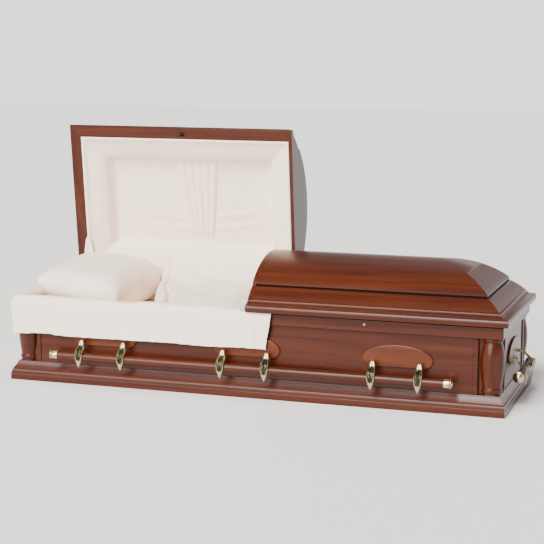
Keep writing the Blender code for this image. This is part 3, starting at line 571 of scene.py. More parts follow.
def eased_copy(name, material, width, label, hollow=0.0):
    """A solid's copy with rounded edges, each flat face shaded by its own direction."""
    mesh = frame["nodes"][name].data.copy()
    shape = bmesh.new()
    shape.from_mesh(mesh)
    bmesh.ops.remove_doubles(shape, verts=shape.verts, dist=MERGE)
    bmesh.ops.recalc_face_normals(shape, faces=shape.faces)
    shape.to_mesh(mesh)
    shape.free()
    made = bpy.data.objects.new(name + label, mesh)
    bpy.context.scene.collection.objects.link(made)
    mesh.materials.clear()
    mesh.materials.append(material)
    mesh.polygons.foreach_set("material_index", np.zeros(len(mesh.polygons), np.int32))
    depth = mesh.attributes.new("hollow", "FLOAT", "POINT")
    depth.data.foreach_set("value", np.full(len(mesh.vertices), hollow, np.float32))
    mesh.shade_smooth()
    edges = made.modifiers.new("sanded_edges", "BEVEL")
    edges.width = width
    edges.segments = 2
    edges.limit_method = "ANGLE"
    edges.angle_limit = math.radians(30)
    flats = made.modifiers.new("flat_faces_stay_flat", "WEIGHTED_NORMAL")
    flats.weight = 100
    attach(made, body_of_node(name))
    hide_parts(name)
    return made


for name, material in BOARDS.items():
    eased_copy(name, material, SANDED_EDGE, "_board")
print(len(BOARDS), "boards eased")

# %% [markdown]
# ## Mitres and the painted shade in the groove
# A mitred frame changes its grain at every corner, so the faces that are nearer an end than a side take
# the crosswise cherry. The foot of the step under the crown is painted near-black, as painted shade in
# that recess. Those faces are found by their inset and height on the plain lid, lying shut.

# %% Mitres and groove
GROOVE_REACH = 0.0006
GROOVE_FOOT = 0.003


def face_centres(obj):
    """The centre of every face, as (faces, 3)."""
    centre = np.zeros(len(obj.data.polygons) * 3)
    obj.data.polygons.foreach_get("center", centre)
    return centre.reshape(-1, 3)


def grain_by_side(obj, half_x, half_y, upright=False):
    """Give the faces nearer the end than the side the crosswise cherry; the open lid's width is upright."""
    x, y, z = np.abs(face_centres(obj)).T
    from_side = half_y - y
    if upright:
        from_side = np.minimum(z - RIM_Z, 2 * half_y - (z - RIM_Z))
    at_end = half_x - x < from_side
    obj.data.materials.append(CHERRY_Z if upright else CHERRY_Y)
    obj.data.polygons.foreach_set("material_index", at_end.astype(np.int32))


def head_unplace(points):
    """The open head lid's points back over the plain lid: swung shut about the hinge, the rim plane at 0."""
    rel = points - HINGE_POINT
    c, s = math.cos(math.radians(OPEN_DEG)), math.sin(math.radians(OPEN_DEG))
    shut = np.stack([rel[:, 0], rel[:, 1] * c - rel[:, 2] * s, rel[:, 1] * s + rel[:, 2] * c], axis=-1)
    return shut + HINGE_POINT - (0, 0, RIM_Z)


def foot_unplace(points):
    """The shut foot lid's points with the rim plane at 0."""
    return points - (0, 0, RIM_Z)


def paint_groove_shade(obj, unplace):
    """Give the foot of the step under the crown painted shade, by each face's place on the plain lid."""
    plain = np.abs(unplace(face_centres(obj)))
    inset = np.minimum(LID_HALF_X - plain[:, 0], LID_HALF_Y - plain[:, 1])
    height = plain[:, 2]
    groove = crown_line(MOULDING, 0.0)[0, 1] - CROWN_STEP
    on_step = (height > groove - GROOVE_FOOT) & (height < groove + SHADE_BAND_HEIGHT)
    dark = (np.abs(inset - MOULDING) < GROOVE_REACH) & on_step
    index = np.zeros(len(obj.data.polygons), np.int32)
    obj.data.polygons.foreach_get("material_index", index)
    index[dark] = len(obj.data.materials)
    obj.data.materials.append(GROOVE_SHADE_PAINT)
    obj.data.polygons.foreach_set("material_index", index)
    return int(dark.sum())


foot_shell, head_shell = (bpy.data.objects["lid_shell_wood_" + end] for end in ("foot", "head"))
grain_by_side(plinth, PLINTH_HIGH.x, PLINTH_HIGH.y)
grain_by_side(foot_shell, LID_HALF_X, LID_HALF_Y)
grain_by_side(head_shell, LID_HALF_X, LID_HALF_Y, upright=True)
# The groove's near-black faces are painted shade.
given_painted_shade = paint_groove_shade(foot_shell, foot_unplace) + paint_groove_shade(head_shell, head_unplace)
print(given_painted_shade, "faces glazed")

# %% [markdown]
# ## Corner posts
# A turner makes each post on a lathe: cap, neck, a barrel that is fullest above its middle, and a base
# ring. A surface of revolution does the same: a profile of (radius, height) swept round an axis. The
# post is then sawn on the skew where it would stand inside the case, and keeps its square core.

# %% Posts
POST_BELLY, POST_NECK, POST_RING = 0.049, 0.038, 0.043
POST_SIDES = 72
POST_EDGE = 0.0022
CORE_BACK, CORE_FRONT, CORE_FACE = 0.048, 0.023, 0.014
CORE_SHORT = 0.001


def turned(profile, sides):
    """A profile of (radius, height) turned round Z: x = r cos a, y = r sin a."""
    angle = np.linspace(0, 2 * np.pi, sides, endpoint=False)
    radius, height = profile[:, 0, None], profile[:, 1, None]
    points = np.stack([radius * np.cos(angle), radius * np.sin(angle),
                       np.broadcast_to(height, (len(profile), sides))], axis=-1)
    return points


def post_profile(rise):
    """Base ring, neck, barrel, neck and cap, upwards, as (radius, height)."""
    knots = [(0.039, 0.125), (0.0435, 0.26), (0.0477, 0.42), (POST_BELLY, 0.58), (0.0475, 0.72),
             (0.0430, 0.84), (0.0388, 0.912)]
    barrel = smooth_line(knots, 40) * (1, rise)
    edge = POST_EDGE
    low, high = rise * 0.045, rise * 0.105
    cap_low = rise * 0.952
    return np.vstack([
        [(0, 0), (POST_NECK + 0.001, 0), (POST_NECK + 0.001, rise * 0.02)],
        arc((POST_RING - edge, low + edge), (edge, edge), 270, 360, 5),
        arc((POST_RING - edge, high - edge), (edge, edge), 0, 90, 5),
        barrel, [(POST_NECK, rise * 0.935)],
        arc((POST_RING - edge, cap_low + edge), (edge, edge), 270, 360, 5),
        arc((POST_RING - edge, rise - edge), (edge, edge), 0, 90, 5), [(0, rise)],
    ])


def prism(outline, low, high):
    """A closed (x, y) outline raised from low to high; its ends are capped afterwards."""
    levels = [np.column_stack([outline, np.full(len(outline), z)]) for z in (low, high)]
    return sheet_of(np.array(levels), round_columns=True)


def sawn(obj, point, normal):
    """Cut the mesh at a plane, drop the side that the normal points to, and cap the cut."""
    shape = bmesh.new()
    shape.from_mesh(obj.data)
    geometry = shape.verts[:] + shape.edges[:] + shape.faces[:]
    bmesh.ops.bisect_plane(shape, geom=geometry, plane_co=point, plane_no=normal, clear_outer=True)
    bmesh.ops.holes_fill(shape, edges=[e for e in shape.edges if e.is_boundary], sides=0)
    bmesh.ops.recalc_face_normals(shape, faces=shape.faces)
    shape.to_mesh(obj.data)
    shape.free()


for x_side, end in ((-1, "head"), (1, "foot")):
    for y_side, wall in ((-1, "front"), (1, "back")):
        low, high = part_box("corner_post_" + end + "_" + wall)
        outer_x, outer_y = (low.x, high.x)[x_side > 0], (low.y, high.y)[y_side > 0]
        centre = np.array((outer_x - x_side * POST_BELLY, outer_y - y_side * POST_BELLY, low.z))
        rise = high.z - low.z
        core = np.array([(-CORE_BACK, CORE_FRONT), (-CORE_BACK, CORE_FACE), (CORE_FACE, -CORE_BACK),
                         (CORE_FRONT, -CORE_BACK), (CORE_FRONT, CORE_FRONT)]) * (x_side, y_side)
        body_points, body_quads = sheet_of(turned(post_profile(rise), POST_SIDES), round_columns=True)
        core_points, core_quads = prism(core, CORE_SHORT, rise - CORE_SHORT)
        parts = [(body_points + centre, body_quads), (core_points + centre, core_quads)]
        post = piece("turned_post_" + end + "_" + wall, parts, CHERRY_Z, "case", capped=True, sharp_deg=35)
        saw_point = centre + (x_side * -CORE_BACK, y_side * CORE_FACE, 0)
        sawn(post, saw_point.tolist(), Vector((-x_side, -y_side, 0)).normalized())
        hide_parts("corner_post_" + end + "_" + wall)
print("four posts")

# %% [markdown]
# ## Handles: plaques
# A low arched plaque backs each pair of arms. Its front edge is rounded over with a router, and the
# long arch picks up one pale line of light. The outline is inset step by step as it comes forward, on a
# quarter circle, and the face is one flat cap.

# %% Plaques
PLAQUE_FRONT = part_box("plaque_front_2")
PLAQUE_HALF = (PLAQUE_FRONT[1].x - PLAQUE_FRONT[0].x) / 2
PLAQUE_FOOT, PLAQUE_SPRING, PLAQUE_HEAD = PLAQUE_FRONT[0].z, 0.200, PLAQUE_FRONT[1].z
PLAQUE_BACK_Y = PLAQUE_FRONT[1].y
PLAQUE_THICKNESS = 0.008
PLAQUE_ROUND = 0.0042
PLAQUE_CORNER = 0.042
ARM_SPACING = 0.190
EAR_WIDTH, EAR_RADIUS, EAR_ROOT = 0.007, 0.006, 0.006
PIN_Z = 0.185
PIN_OUT = 0.0213
END_PANEL_X = -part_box("plaque_head")[1].x
LONG_WALL_PAIRS = (-0.632, 0.0, 0.632)
WALLS = {
    "front": (0.0, -PLAQUE_BACK_Y, LONG_WALL_PAIRS), "back": (math.pi, -PLAQUE_BACK_Y, LONG_WALL_PAIRS),
    "foot": (math.pi / 2, END_PANEL_X, (0.0,)), "head": (-math.pi / 2, END_PANEL_X, (0.0,)),
}


def on_wall(points, wall, along=0.0):
    """(along, out, up) from a wall's face to world: turn (along, -out) about Z by the wall's angle."""
    turn, face, _ = WALLS[wall]
    flat = points.reshape(-1, 3)
    x, y = flat[:, 0] + along, -(face + flat[:, 1])
    c, s = math.cos(turn), math.sin(turn)
    return np.stack([x * c - y * s, x * s + y * c, flat[:, 2]], axis=-1).reshape(points.shape)


def plaque_line():
    """The plaque's outline (along, up): flat foot, two quarter ellipses and a long arch."""
    foot = PLAQUE_SPRING - PLAQUE_FOOT
    side = PLAQUE_HALF - PLAQUE_CORNER
    right = arc((side, PLAQUE_SPRING), (PLAQUE_CORNER, foot), -90, 0, 14)
    top = arc((0, PLAQUE_SPRING), (PLAQUE_HALF, PLAQUE_HEAD - PLAQUE_SPRING), 0, 180, 72)
    left = arc((-side, PLAQUE_SPRING), (PLAQUE_CORNER, foot), 180, 270, 14)
    return np.vstack([right[:-1], top, left[1:]])


def inset_line(line, distance):
    """The closed line drawn in by a distance along its normals: (dy, -dx) of its tangent, turned inwards."""
    tangent = np.roll(line, -1, axis=0) - np.roll(line, 1, axis=0)
    tangent /= np.linalg.norm(tangent, axis=1, keepdims=True)
    return line + distance * np.stack([-tangent[:, 1], tangent[:, 0]], axis=-1)


def rounded_plate(line, thickness, ease):
    """A plate standing off y = 0: straight sides, then a quarter round of the given size, and a flat face."""
    turn = np.radians(np.linspace(0, 90, 7))
    inset = np.concatenate([[0], ease * (1 - np.cos(turn))])
    out = np.concatenate([[0], thickness - ease + ease * np.sin(turn)])
    rings = [inset_line(line, i) for i in inset]
    return np.array([np.column_stack([ring[:, 0], np.full(len(ring), o), ring[:, 1]])
                     for ring, o in zip(rings, out)])


def tag_of(wall, index):
    """The name of a pair on a wall, as in the solids."""
    return wall if len(WALLS[wall][2]) == 1 else wall + "_" + str(index + 1)


plaque_plate = rounded_plate(plaque_line(), PLAQUE_THICKNESS, PLAQUE_ROUND)
for wall in WALLS:
    for index, along in enumerate(WALLS[wall][2]):
        grain = PLAQUE_PAINTED_LIT_X if wall in ("front", "back") else PLAQUE_PAINTED_LIT_Y
        plaque = piece("plaque_board_" + tag_of(wall, index),
                       [sheet_of(on_wall(plaque_plate, wall, along), round_columns=True)], grain, "case",
                       capped=True, sharp_deg=50)
        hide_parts("plaque_" + tag_of(wall, index))
print("plaques on", list(WALLS))

# %% [markdown]
# ## Handles: ears and arms
# A brass ear stands out of the plaque, and the arm's two cheeks hang from its pin. The arm itself is a
# cast leaf, bowed round the outside of the bar: a raised rim, a dished dark ground with a faint midrib,
# and a point that hangs below the bar. The dark ground is partly patina in the dish and partly painted
# reflection, spread over the arm's middle where its bowed face mirrors dark surroundings. It is a tube
# whose section changes along its route: the width follows a leaf's outline, and the outer side is dished
# by a formula in the distance from the middle.

# %% Ears and arms
BAR_OUT, BAR_Z, BAR_RADIUS = 0.048, 0.126, 0.016
ARM_HALF, ARM_THICK = 0.0172, 0.0030
CHEEK_THICK, CHEEK_PLAY = 0.003, 0.0005
ARM_ROUTE = ((0.0275, 0.1935), (0.0323, 0.1885), (0.0400, 0.1702), (0.0605, 0.1490), (0.0686, 0.126),
             (0.0680, 0.104), (0.0640, 0.0812))
ARM_WIDTHS = (0.32, 0.52, 0.82, 1.0, 0.90, 0.58, 0.08)
ARM_ROWS = 56
RIM_AT, RIM_SPREAD = 0.84, 0.13
MIDRIB, MIDRIB_SPREAD = 0.45, 0.16
DISH_FLOOR, DISH_RIM = 0.15, 0.95
CHEEK_REACH = 0.011


def dish(s):
    """Height of the arm's outer face over its middle plane: floor + rim + midrib, s from -1 to 1.

    Rim and midrib are bells exp(-(distance / spread)^2) of the distance from their own lines.
    """
    rim = np.exp(-((np.abs(s) - RIM_AT) / RIM_SPREAD) ** 2)
    midrib = MIDRIB * np.exp(-(s / MIDRIB_SPREAD) ** 2)
    return DISH_FLOOR + DISH_RIM * rim + midrib * (1 - rim)


def arm_points():
    """The arm as rings along its route, and how far each point takes the dark ground: patina and painted
    reflection.
    """
    route = smooth_line(ARM_ROUTE, ARM_ROWS)
    width = ARM_HALF * smooth_line([(w, 0) for w in ARM_WIDTHS], ARM_ROWS)[:, 0]
    ahead = np.gradient(route, axis=0)
    ahead /= np.linalg.norm(ahead, axis=1, keepdims=True)
    face = np.stack([-ahead[:, 1], ahead[:, 0]], axis=-1)
    s_out = np.linspace(-1, 1, 23)
    s_in = np.linspace(1, -1, 9)[1:-1]
    s = np.concatenate([s_out, s_in])
    lift = np.concatenate([dish(s_out), -1.0 + 0.55 * s_in ** 2])
    thick = ARM_THICK * (0.45 + 0.55 * width / ARM_HALF)
    across = width[:, None] * s
    out = route[:, 0, None] + face[:, 0, None] * thick[:, None] * lift
    up = route[:, 1, None] + face[:, 1, None] * thick[:, None] * lift
    t = np.linspace(0, 1, ARM_ROWS)[:, None]
    # The dark ground: patina in the dish, spread over the middle of the arm as painted reflection.
    ground = step(t, 0.27, 0.34) * (1 - step(t, 0.74, 0.83)) * (1 - step(np.abs(s), 0.62, 0.76))
    ground = ground * (np.arange(len(s)) < len(s_out))
    return np.stack([across, out, up], axis=-1), ground


def eye_line(reach):
    """A cheek's outline (out, up): round the pin, and a tongue that runs into the arm."""
    pin = np.array((PIN_OUT, PIN_Z))
    eye = arc(pin, (EAR_RADIUS, EAR_RADIUS), 90, 300, 16)
    return np.vstack([eye, pin + (reach, -0.004), pin + (reach + 0.002, 0.003)])


def side_plate(line, middle, thickness):
    """An (out, up) outline as a plate across the wall, centred on middle."""
    sides = [np.column_stack([np.full(len(line), middle + side * thickness / 2), line]) for side in (-1, 1)]
    return np.array(sides)


def brass_piece(name, parts, body, hollow=None):
    """A brass object; hollow holds how deep each point of the first part lies in the dark ground."""
    made = piece(name, parts, BRASS, body, capped=True, sharp_deg=38, hollow=hollow)
    return made


arm_shape, arm_patina_and_reflection = arm_points()
cheek_middle = EAR_WIDTH / 2 + CHEEK_PLAY + CHEEK_THICK / 2
cheeks = [side_plate(eye_line(CHEEK_REACH), side * cheek_middle, CHEEK_THICK) for side in (-1, 1)]
ear_round = arc((PIN_OUT, PIN_Z), (EAR_RADIUS, EAR_RADIUS), 270, 450, 14)
ear_line = np.vstack([[(EAR_ROOT, PIN_Z - EAR_RADIUS)], ear_round, [(EAR_ROOT, PIN_Z + EAR_RADIUS)]])
ear = side_plate(ear_line, 0.0, EAR_WIDTH)
for wall in WALLS:
    for index, along in enumerate(WALLS[wall][2]):
        for side, letter in ((-1, "a"), (1, "b")):
            tag = tag_of(wall, index) + "_" + letter
            spot = along + side * ARM_SPACING / 2
            arm_parts = [sheet_of(on_wall(arm_shape, wall, spot), round_columns=True)]
            arm_parts += [sheet_of(on_wall(cheek, wall, spot), round_columns=True) for cheek in cheeks]
            arm = brass_piece("leaf_arm_" + tag, arm_parts, "handle_" + wall, hollow=arm_patina_and_reflection.ravel())
            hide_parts("arm_" + tag)
            brass_piece("ear_" + tag, [sheet_of(on_wall(ear, wall, spot), round_columns=True)], "case")
print("arms and ears")

# %% [markdown]
# ## Handles: bars
# The bar is a cherry dowel with a brass ferrule at each end: a short barrel, a thin flange and a domed
# cap. Both are turned profiles laid along the wall.

# %% Bars
BAR_SIDES = 48
FERRULE_RADIUS, FLANGE_RADIUS, FERRULE_LENGTH = 0.0185, 0.0230, 0.040
FERRULE_NECK = FERRULE_RADIUS - 0.0008


def lying(points):
    """A shape turned about Z laid along the wall: its axis becomes the along direction at the bar's place."""
    return np.stack([points[..., 2], BAR_OUT + points[..., 0], BAR_Z + points[..., 1]], axis=-1)


def ferrule_profile():
    """(radius, distance from the tip) of a ferrule, from the tip inwards."""
    dome = arc((0, 0.0095), (FERRULE_RADIUS * 0.90, 0.0095), 270, 345, 12)
    flange = arc((FLANGE_RADIUS - 0.0018, 0.0108), (0.0018, 0.0022), -90, 90, 8)
    barrel = arc((FERRULE_RADIUS - 0.0012, FERRULE_LENGTH - 0.0014), (0.0012, 0.0012), 0, 90, 5)
    bead = arc((FERRULE_RADIUS - 0.0004, 0.0168), (0.0016, 0.0018), -80, 80, 6)
    neck = [(FERRULE_NECK, 0.0140), (FERRULE_NECK, 0.0150)]
    mouth = [(BAR_RADIUS - 0.001, FERRULE_LENGTH)]
    return np.vstack([dome, flange, neck, bead, [(FERRULE_RADIUS, 0.0200)], barrel, mouth])


for wall in WALLS:
    low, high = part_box("bar_" + wall)
    half = max(high.x - low.x, high.y - low.y) / 2
    reach = half - FERRULE_LENGTH + 0.004
    dowel_line = np.array([(0, -reach), (BAR_RADIUS, -reach), (BAR_RADIUS, reach), (0, reach)])
    grain = CHERRY_X if wall in ("front", "back") else CHERRY_Y
    dowel_skin = sheet_of(on_wall(lying(turned(dowel_line, BAR_SIDES)), wall), round_columns=True)
    dowel = piece("bar_dowel_" + wall, [dowel_skin], grain, "handle_" + wall)
    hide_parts("bar_" + wall)
    profile = ferrule_profile()
    for side, letter in ((-1, "a"), (1, "b")):
        line = np.column_stack([profile[:, 0], side * (half - profile[:, 1])])
        ring = turned(line, BAR_SIDES)
        groove = np.isclose(profile[:, 0], FERRULE_NECK).astype(float)
        depth = np.repeat(groove[:, None], BAR_SIDES, axis=1).ravel()
        skin = sheet_of(on_wall(lying(ring), wall), round_columns=True)
        brass_piece("ferrule_" + wall + "_" + letter, [skin], "handle_" + wall, hollow=depth)
print("bars and ferrules")

# %% [markdown]
# ## Small hardware
# The hinges, the strike plate on the open lid's stile and the key escutcheon keep the solids' shapes,
# with their edges broken, in the same brass.

# %% Small hardware
for name in ("hinge_leaf_case_head", "hinge_leaf_case_foot", "hinge_leaf_lid_head", "hinge_leaf_lid_foot"):
    eased_copy(name, BRASS, 0.0003, "_brass")
# The whole strike plate takes the dark ground value, so it shows darker than the other brass.
eased_copy("latch_plate", BRASS, 0.0008, "_brass", hollow=1.0)
eased_copy("keyhole", BRASS, 0.0003, "_brass")
print("hinges, strike plate and escutcheon")

# %% [markdown]
# ## Soft things as slabs
# Cloth and padding have two faces. A slab is one grid for the face that shows, a second grid for the
# face behind it, and four strips that join their rims, so the piece is one closed skin.

# %% Slabs


def slab(front, back):
    """Two equal grids joined along their four rims."""
    rims = (np.s_[0], np.s_[-1], np.s_[:, 0], np.s_[:, -1])
    return [sheet_of(front), sheet_of(back)] + [sheet_of(np.array((front[r], back[r]))) for r in rims]


def grid_normals(points):
    """Unit normals of a grid: the cross product of its two tangents."""
    across = np.cross(np.gradient(points, axis=0), np.gradient(points, axis=1))
    return across / np.maximum(np.linalg.norm(across, axis=-1, keepdims=True), 1e-12)


def soft_piece(name, parts, body, *nodes):
    """A crepe piece that stands for the plain solids named."""
    made = piece(name, parts, CREPE, body, sharp_deg=75)
    if nodes:
        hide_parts(*nodes)
    return made


print("slabs ready")

# %% [markdown]
# ## The cap linings
# Inside each lid the crepe is stretched over a padded border that slopes in, rolls over an edge and
# drops to a recessed panel. In the head lid a fan of pleats runs down the panel and gathers at its foot,
# with two swags of loose cloth on each side. All of it is one height over the rim plane: the border is a
# curve of the distance to the nearest edge, the pleats are a rounded saw of the angle in the fan, and
# each swag is a ridge along a shallow curve. The foot lid has the same border and plain gathered cloth.

# %% Cap linings
SIDE_INSET, END_INSET = 0.051, 0.055
LINING_START = 0.0168
PANEL_INSET = 0.175
# The padded border's section: inset from the lid's edge, and height over the rim plane.
BORDER_KNOTS = ((0.0500, -0.0022), (0.0560, -0.0034), (0.0620, -0.0010), (0.0720, 0.0085), (0.0860, 0.0150),
                (0.1100, 0.0235), (0.1340, 0.0370), (0.1450, 0.0475), (0.1510, 0.0600), (0.1590, 0.0780),
                (0.1670, 0.0890), (0.1780, 0.0930))
CLOTH_THICK = 0.003
FAN_TOP_Y, FAN_FOOT_Y = 0.186, -0.150
FAN_TOP_X, FAN_FOOT_X = 0.483, 0.471
FAN_TOP_HALF, FAN_FOOT_HALF = 0.096, 0.054
PLEATS = 5
PLEAT_HEIGHT, FAN_BASE = 0.0115, 0.0040
SWAG_START = 0.048
SWAG_ABOVE, SWAG_BELOW = 0.006, 0.022
BORDER_DENT, BORDER_RIPPLE, PANEL_DENT = 0.0026, 0.0009, 0.0022
GATHER_RELIEF = 0.0012
FOOT_PLEAT, FOOT_PITCH = 0.0030, 0.042
TURNED_IN = 0.063
# Each swag: its side of the fan, its reach, the height of its foot, its rise along the panel and its relief.
SWAGS = ((-1, 0.250, -0.060, 0.040, 0.0060), (-1, 0.270, -0.105, 0.022, 0.0050),
         (1, 0.260, -0.075, 0.034, 0.0036), (1, 0.270, -0.118, 0.018, 0.0034))


def lining_grid(spacing):
    """Plan coordinates over the lining, and each point's inset from the lid's edge, from 50 mm up."""
    half_y, end_x = LID_HALF_Y - SIDE_INSET, LID_HALF_X - END_INSET
    across = np.linspace(LINING_START, end_x, int((end_x - LINING_START) / spacing))
    along = np.linspace(-half_y, half_y, int(2 * half_y / spacing))
    x, y = np.meshgrid(across, along, indexing="ij")
    inset = 0.050 + np.minimum(np.minimum(x - LINING_START, end_x - x), half_y - np.abs(y))
    return x, y, inset


def border_height(inset):
    """The padded border's height by the inset, then the panel's."""
    curve = smooth_line(BORDER_KNOTS, 240)
    return np.interp(inset, curve[:, 0], curve[:, 1])


def fan_relief(x, y):
    """Pleats that widen upwards, each a ridge |sin(pi w + bend)|^0.7, w counting pleats across the fan."""
    share = np.clip((y - FAN_FOOT_Y) / (FAN_TOP_Y - FAN_FOOT_Y), 0, 1)
    middle = FAN_FOOT_X + (FAN_TOP_X - FAN_FOOT_X) * share
    half = FAN_FOOT_HALF + (FAN_TOP_HALF - FAN_FOOT_HALF) * share ** 0.8
    place = (x - middle) / half
    wave = (place * 0.5 + 0.5) * PLEATS
    ridge = np.abs(np.sin(np.pi * (wave + 0.10 * np.sin(2 * np.pi * wave)))) ** 0.7
    inside = 1 - step(np.abs(place), 0.93, 1.04)
    ends = step(y, FAN_FOOT_Y - 0.03, FAN_FOOT_Y + 0.03)
    return (PLEAT_HEIGHT * ridge + FAN_BASE) * inside * ends


def swag_relief(x, y):
    """Shallow ridges beside the fan, rising away from it: each is height * exp(-(distance / width)^2)."""
    total = np.zeros_like(x)
    for side, reach, foot_y, rise, height in SWAGS:
        start = FAN_FOOT_X + side * SWAG_START
        along = (x - start) * side / reach
        line = foot_y + rise * np.clip(along, 0, 1) ** 1.6
        off = (y - line) / np.where(y > line, SWAG_ABOVE, SWAG_BELOW)
        shown = step(along, -0.05, 0.12) * (1 - step(along, 0.55, 1.0))
        total += height * np.exp(-off ** 2) * shown
    return total


def lining_piece(end, place, spacing):
    """The lining of one lid, set in its place."""
    x, y, inset = lining_grid(spacing)
    height = border_height(inset)
    on_border = step(inset, 0.060, 0.080) * (1 - step(inset, 0.136, 0.158))
    on_panel = step(inset, PANEL_INSET - 0.014, PANEL_INSET + 0.006)
    uneven = BORDER_DENT * soft_noise(x, y, 0.13, 5) + BORDER_RIPPLE * soft_noise(x, y, 0.05, 6)
    height -= on_border * uneven
    height -= on_panel * PANEL_DENT * soft_noise(x, y, 0.09, 8)
    if end == "head":
        height -= on_panel * np.maximum(fan_relief(x, y), swag_relief(x, y))
        gathers = np.sin(2 * np.pi * (x * 12 + 2.0 * soft_noise(x, y, 0.3, 4))) * (1 - step(y, -0.17, -0.11))
        height -= on_panel * GATHER_RELIEF * gathers
    else:
        height -= on_panel * FOOT_PLEAT * np.abs(np.sin(np.pi * (x - LINING_START) / FOOT_PITCH))
    front = np.stack([x, y, height], axis=-1)
    behind = height + CLOTH_THICK
    behind = np.where(inset < TURNED_IN, np.minimum(behind, -0.0003), behind)
    back = np.stack([x, y, np.maximum(behind, height + 0.0004)], axis=-1)
    skins = slab(place(front), place(back))
    lining = soft_piece("cap_lining_" + end, skins, end + "_lid", "lid_lining_" + end)
    return lining


for (end, place), spacing in zip(LIDS, (0.0038, 0.0048)):
    lining = lining_piece(end, place, spacing)
    print(lining.name, len(lining.data.polygons), "faces")

# %% [markdown]
# ## The bed and the shirred skirt
# The bed is a firm mattress with its corners cut to clear the posts. Round it the crepe is gathered on
# a cord and tacked to the walls: upright folds every couple of centimetres, from below the bed's top up
# to the rail. The skirt is a loop whose distance from the wall goes up and down as a sine of the length
# along it. Above the posts it runs right into the corners, and below their tops it passes inside them.

# %% Bed and skirt
BED_LOW, BED_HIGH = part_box("bed")
BED_TOP = BED_HIGH.z
BED_CUT = 0.057
BED_EASE = 0.016
SKIRT_LOW, SKIRT_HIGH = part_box("case_skirt")
SKIRT_CUT = 0.066
SKIRT_THICK = 0.002
FOLD_PITCH = 0.019


def cut_width(x, half_x, half_y, cut):
    """Half the width at x of a rectangle with its corners cut at 45 degrees."""
    return np.minimum(half_y, half_x + half_y - cut - np.abs(x))


bed_u, bed_v = np.meshgrid(np.linspace(-1, 1, 260), np.linspace(-1, 1, 84), indexing="ij")
bed_x = bed_u * BED_HIGH.x
bed_half = cut_width(bed_x, BED_HIGH.x, BED_HIGH.y, BED_CUT)
bed_y = bed_v * bed_half
bed_edge = np.minimum(BED_HIGH.x - np.abs(bed_x), bed_half - np.abs(bed_y))
bed_drop = BED_EASE * (1 - np.sqrt(1 - np.clip(1 - bed_edge / BED_EASE, 0, 1) ** 2))
bed_z = BED_TOP - bed_drop - 0.0015 * (1 + soft_noise(bed_x, bed_y, 0.12, 21))
bed_back = np.stack([bed_x, bed_y, np.full_like(bed_x, BED_LOW.z)], axis=-1)
bed = soft_piece("bed_mattress", slab(np.stack([bed_x, bed_y, bed_z], axis=-1), bed_back), "case", "bed")


def cut_loop(half_x, half_y, cut, count):
    """count points evenly along the loop of a rectangle with cut corners."""
    x, y = half_x, half_y
    corners = np.array([(x, -y + cut), (x, y - cut), (x - cut, y), (-x + cut, y), (-x, y - cut),
                        (-x, -y + cut), (-x + cut, -y), (x - cut, -y), (x, -y + cut)])
    length = np.concatenate([[0], np.cumsum(np.linalg.norm(np.diff(corners, axis=0), axis=1))])
    place = np.linspace(0, length[-1], count, endpoint=False)
    return np.column_stack([np.interp(place, length, corners[:, axis]) for axis in (0, 1)]), place


def loop_normals(loop):
    """Unit normals of a closed loop, pointing inwards: the tangent turned a quarter left."""
    tangent = np.roll(loop, -3, axis=0) - np.roll(loop, 3, axis=0)
    tangent /= np.linalg.norm(tangent, axis=1, keepdims=True)
    return np.stack([-tangent[:, 1], tangent[:, 0]], axis=-1)


POST_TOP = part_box("corner_post_foot_front")[1].z
skirt_heights = np.array([SKIRT_LOW.z, 0.262, 0.280, POST_TOP - 0.004, POST_TOP + 0.0008,
                          POST_TOP + 0.0022, 0.318, 0.335, SKIRT_HIGH.z])
skirt_cuts = np.where(skirt_heights > POST_TOP + 0.001, 0.012, SKIRT_CUT)
skirt_share = np.linspace(0, 1, len(skirt_heights))
skirt_loops = np.array([cut_loop(SKIRT_HIGH.x, SKIRT_HIGH.y, cut, 2400)[0] for cut in skirt_cuts])
skirt_place = cut_loop(SKIRT_HIGH.x, SKIRT_HIGH.y, SKIRT_CUT, 2400)[1]
skirt_inward = np.array([loop_normals(loop) for loop in skirt_loops])
fold = 0.5 + 0.5 * np.sin(2 * np.pi * skirt_place / FOLD_PITCH + 1.7 * np.sin(2 * np.pi * skirt_place / 0.13))
swell = 0.0022 + 0.0044 * fold[None, :] * (0.35 + 0.65 * np.sin(np.pi * skirt_share[:, None]) ** 0.7)


def skirt_ring(inset):
    """The skirt's grid at an inset from its loops, level by level."""
    flat = skirt_loops + skirt_inward * inset[..., None]
    return np.concatenate([flat, np.broadcast_to(skirt_heights[:, None, None], inset.shape + (1,))], axis=-1)


skirt_inner, skirt_outer = skirt_ring(swell), skirt_ring(swell - SKIRT_THICK)
skirt_rims = [np.array([skirt_inner[i], skirt_outer[i]]) for i in (0, -1)]
skirt_skins = [sheet_of(grid, round_columns=True) for grid in (skirt_inner, skirt_outer, *skirt_rims)]
skirt = soft_piece("shirred_skirt", skirt_skins, "case", "case_skirt")

# %% [markdown]
# ## The pillow
# A pillow is two rectangles of cloth sewn edge to edge and stuffed. Its middle is crowned, its sides
# pull in between the corners and its edges are round. This one is propped on the head rail, so it
# slopes down towards the foot end. The rough form is a grid. Blender's cloth solver then blows it up a
# little, which gives small dents that no formula would.

# %% Pillow
PILLOW_HALF_X, PILLOW_HALF_Y = 0.206, 0.268
PILLOW_X, PILLOW_Y = -0.8000, 0.002
SEAM_AT_HEAD, SEAM_AT_FOOT = 0.412, 0.362
ROUNDED_CORNER = 0.07
PILLOW_CAP = 0.008
SIM_FRAMES = 20


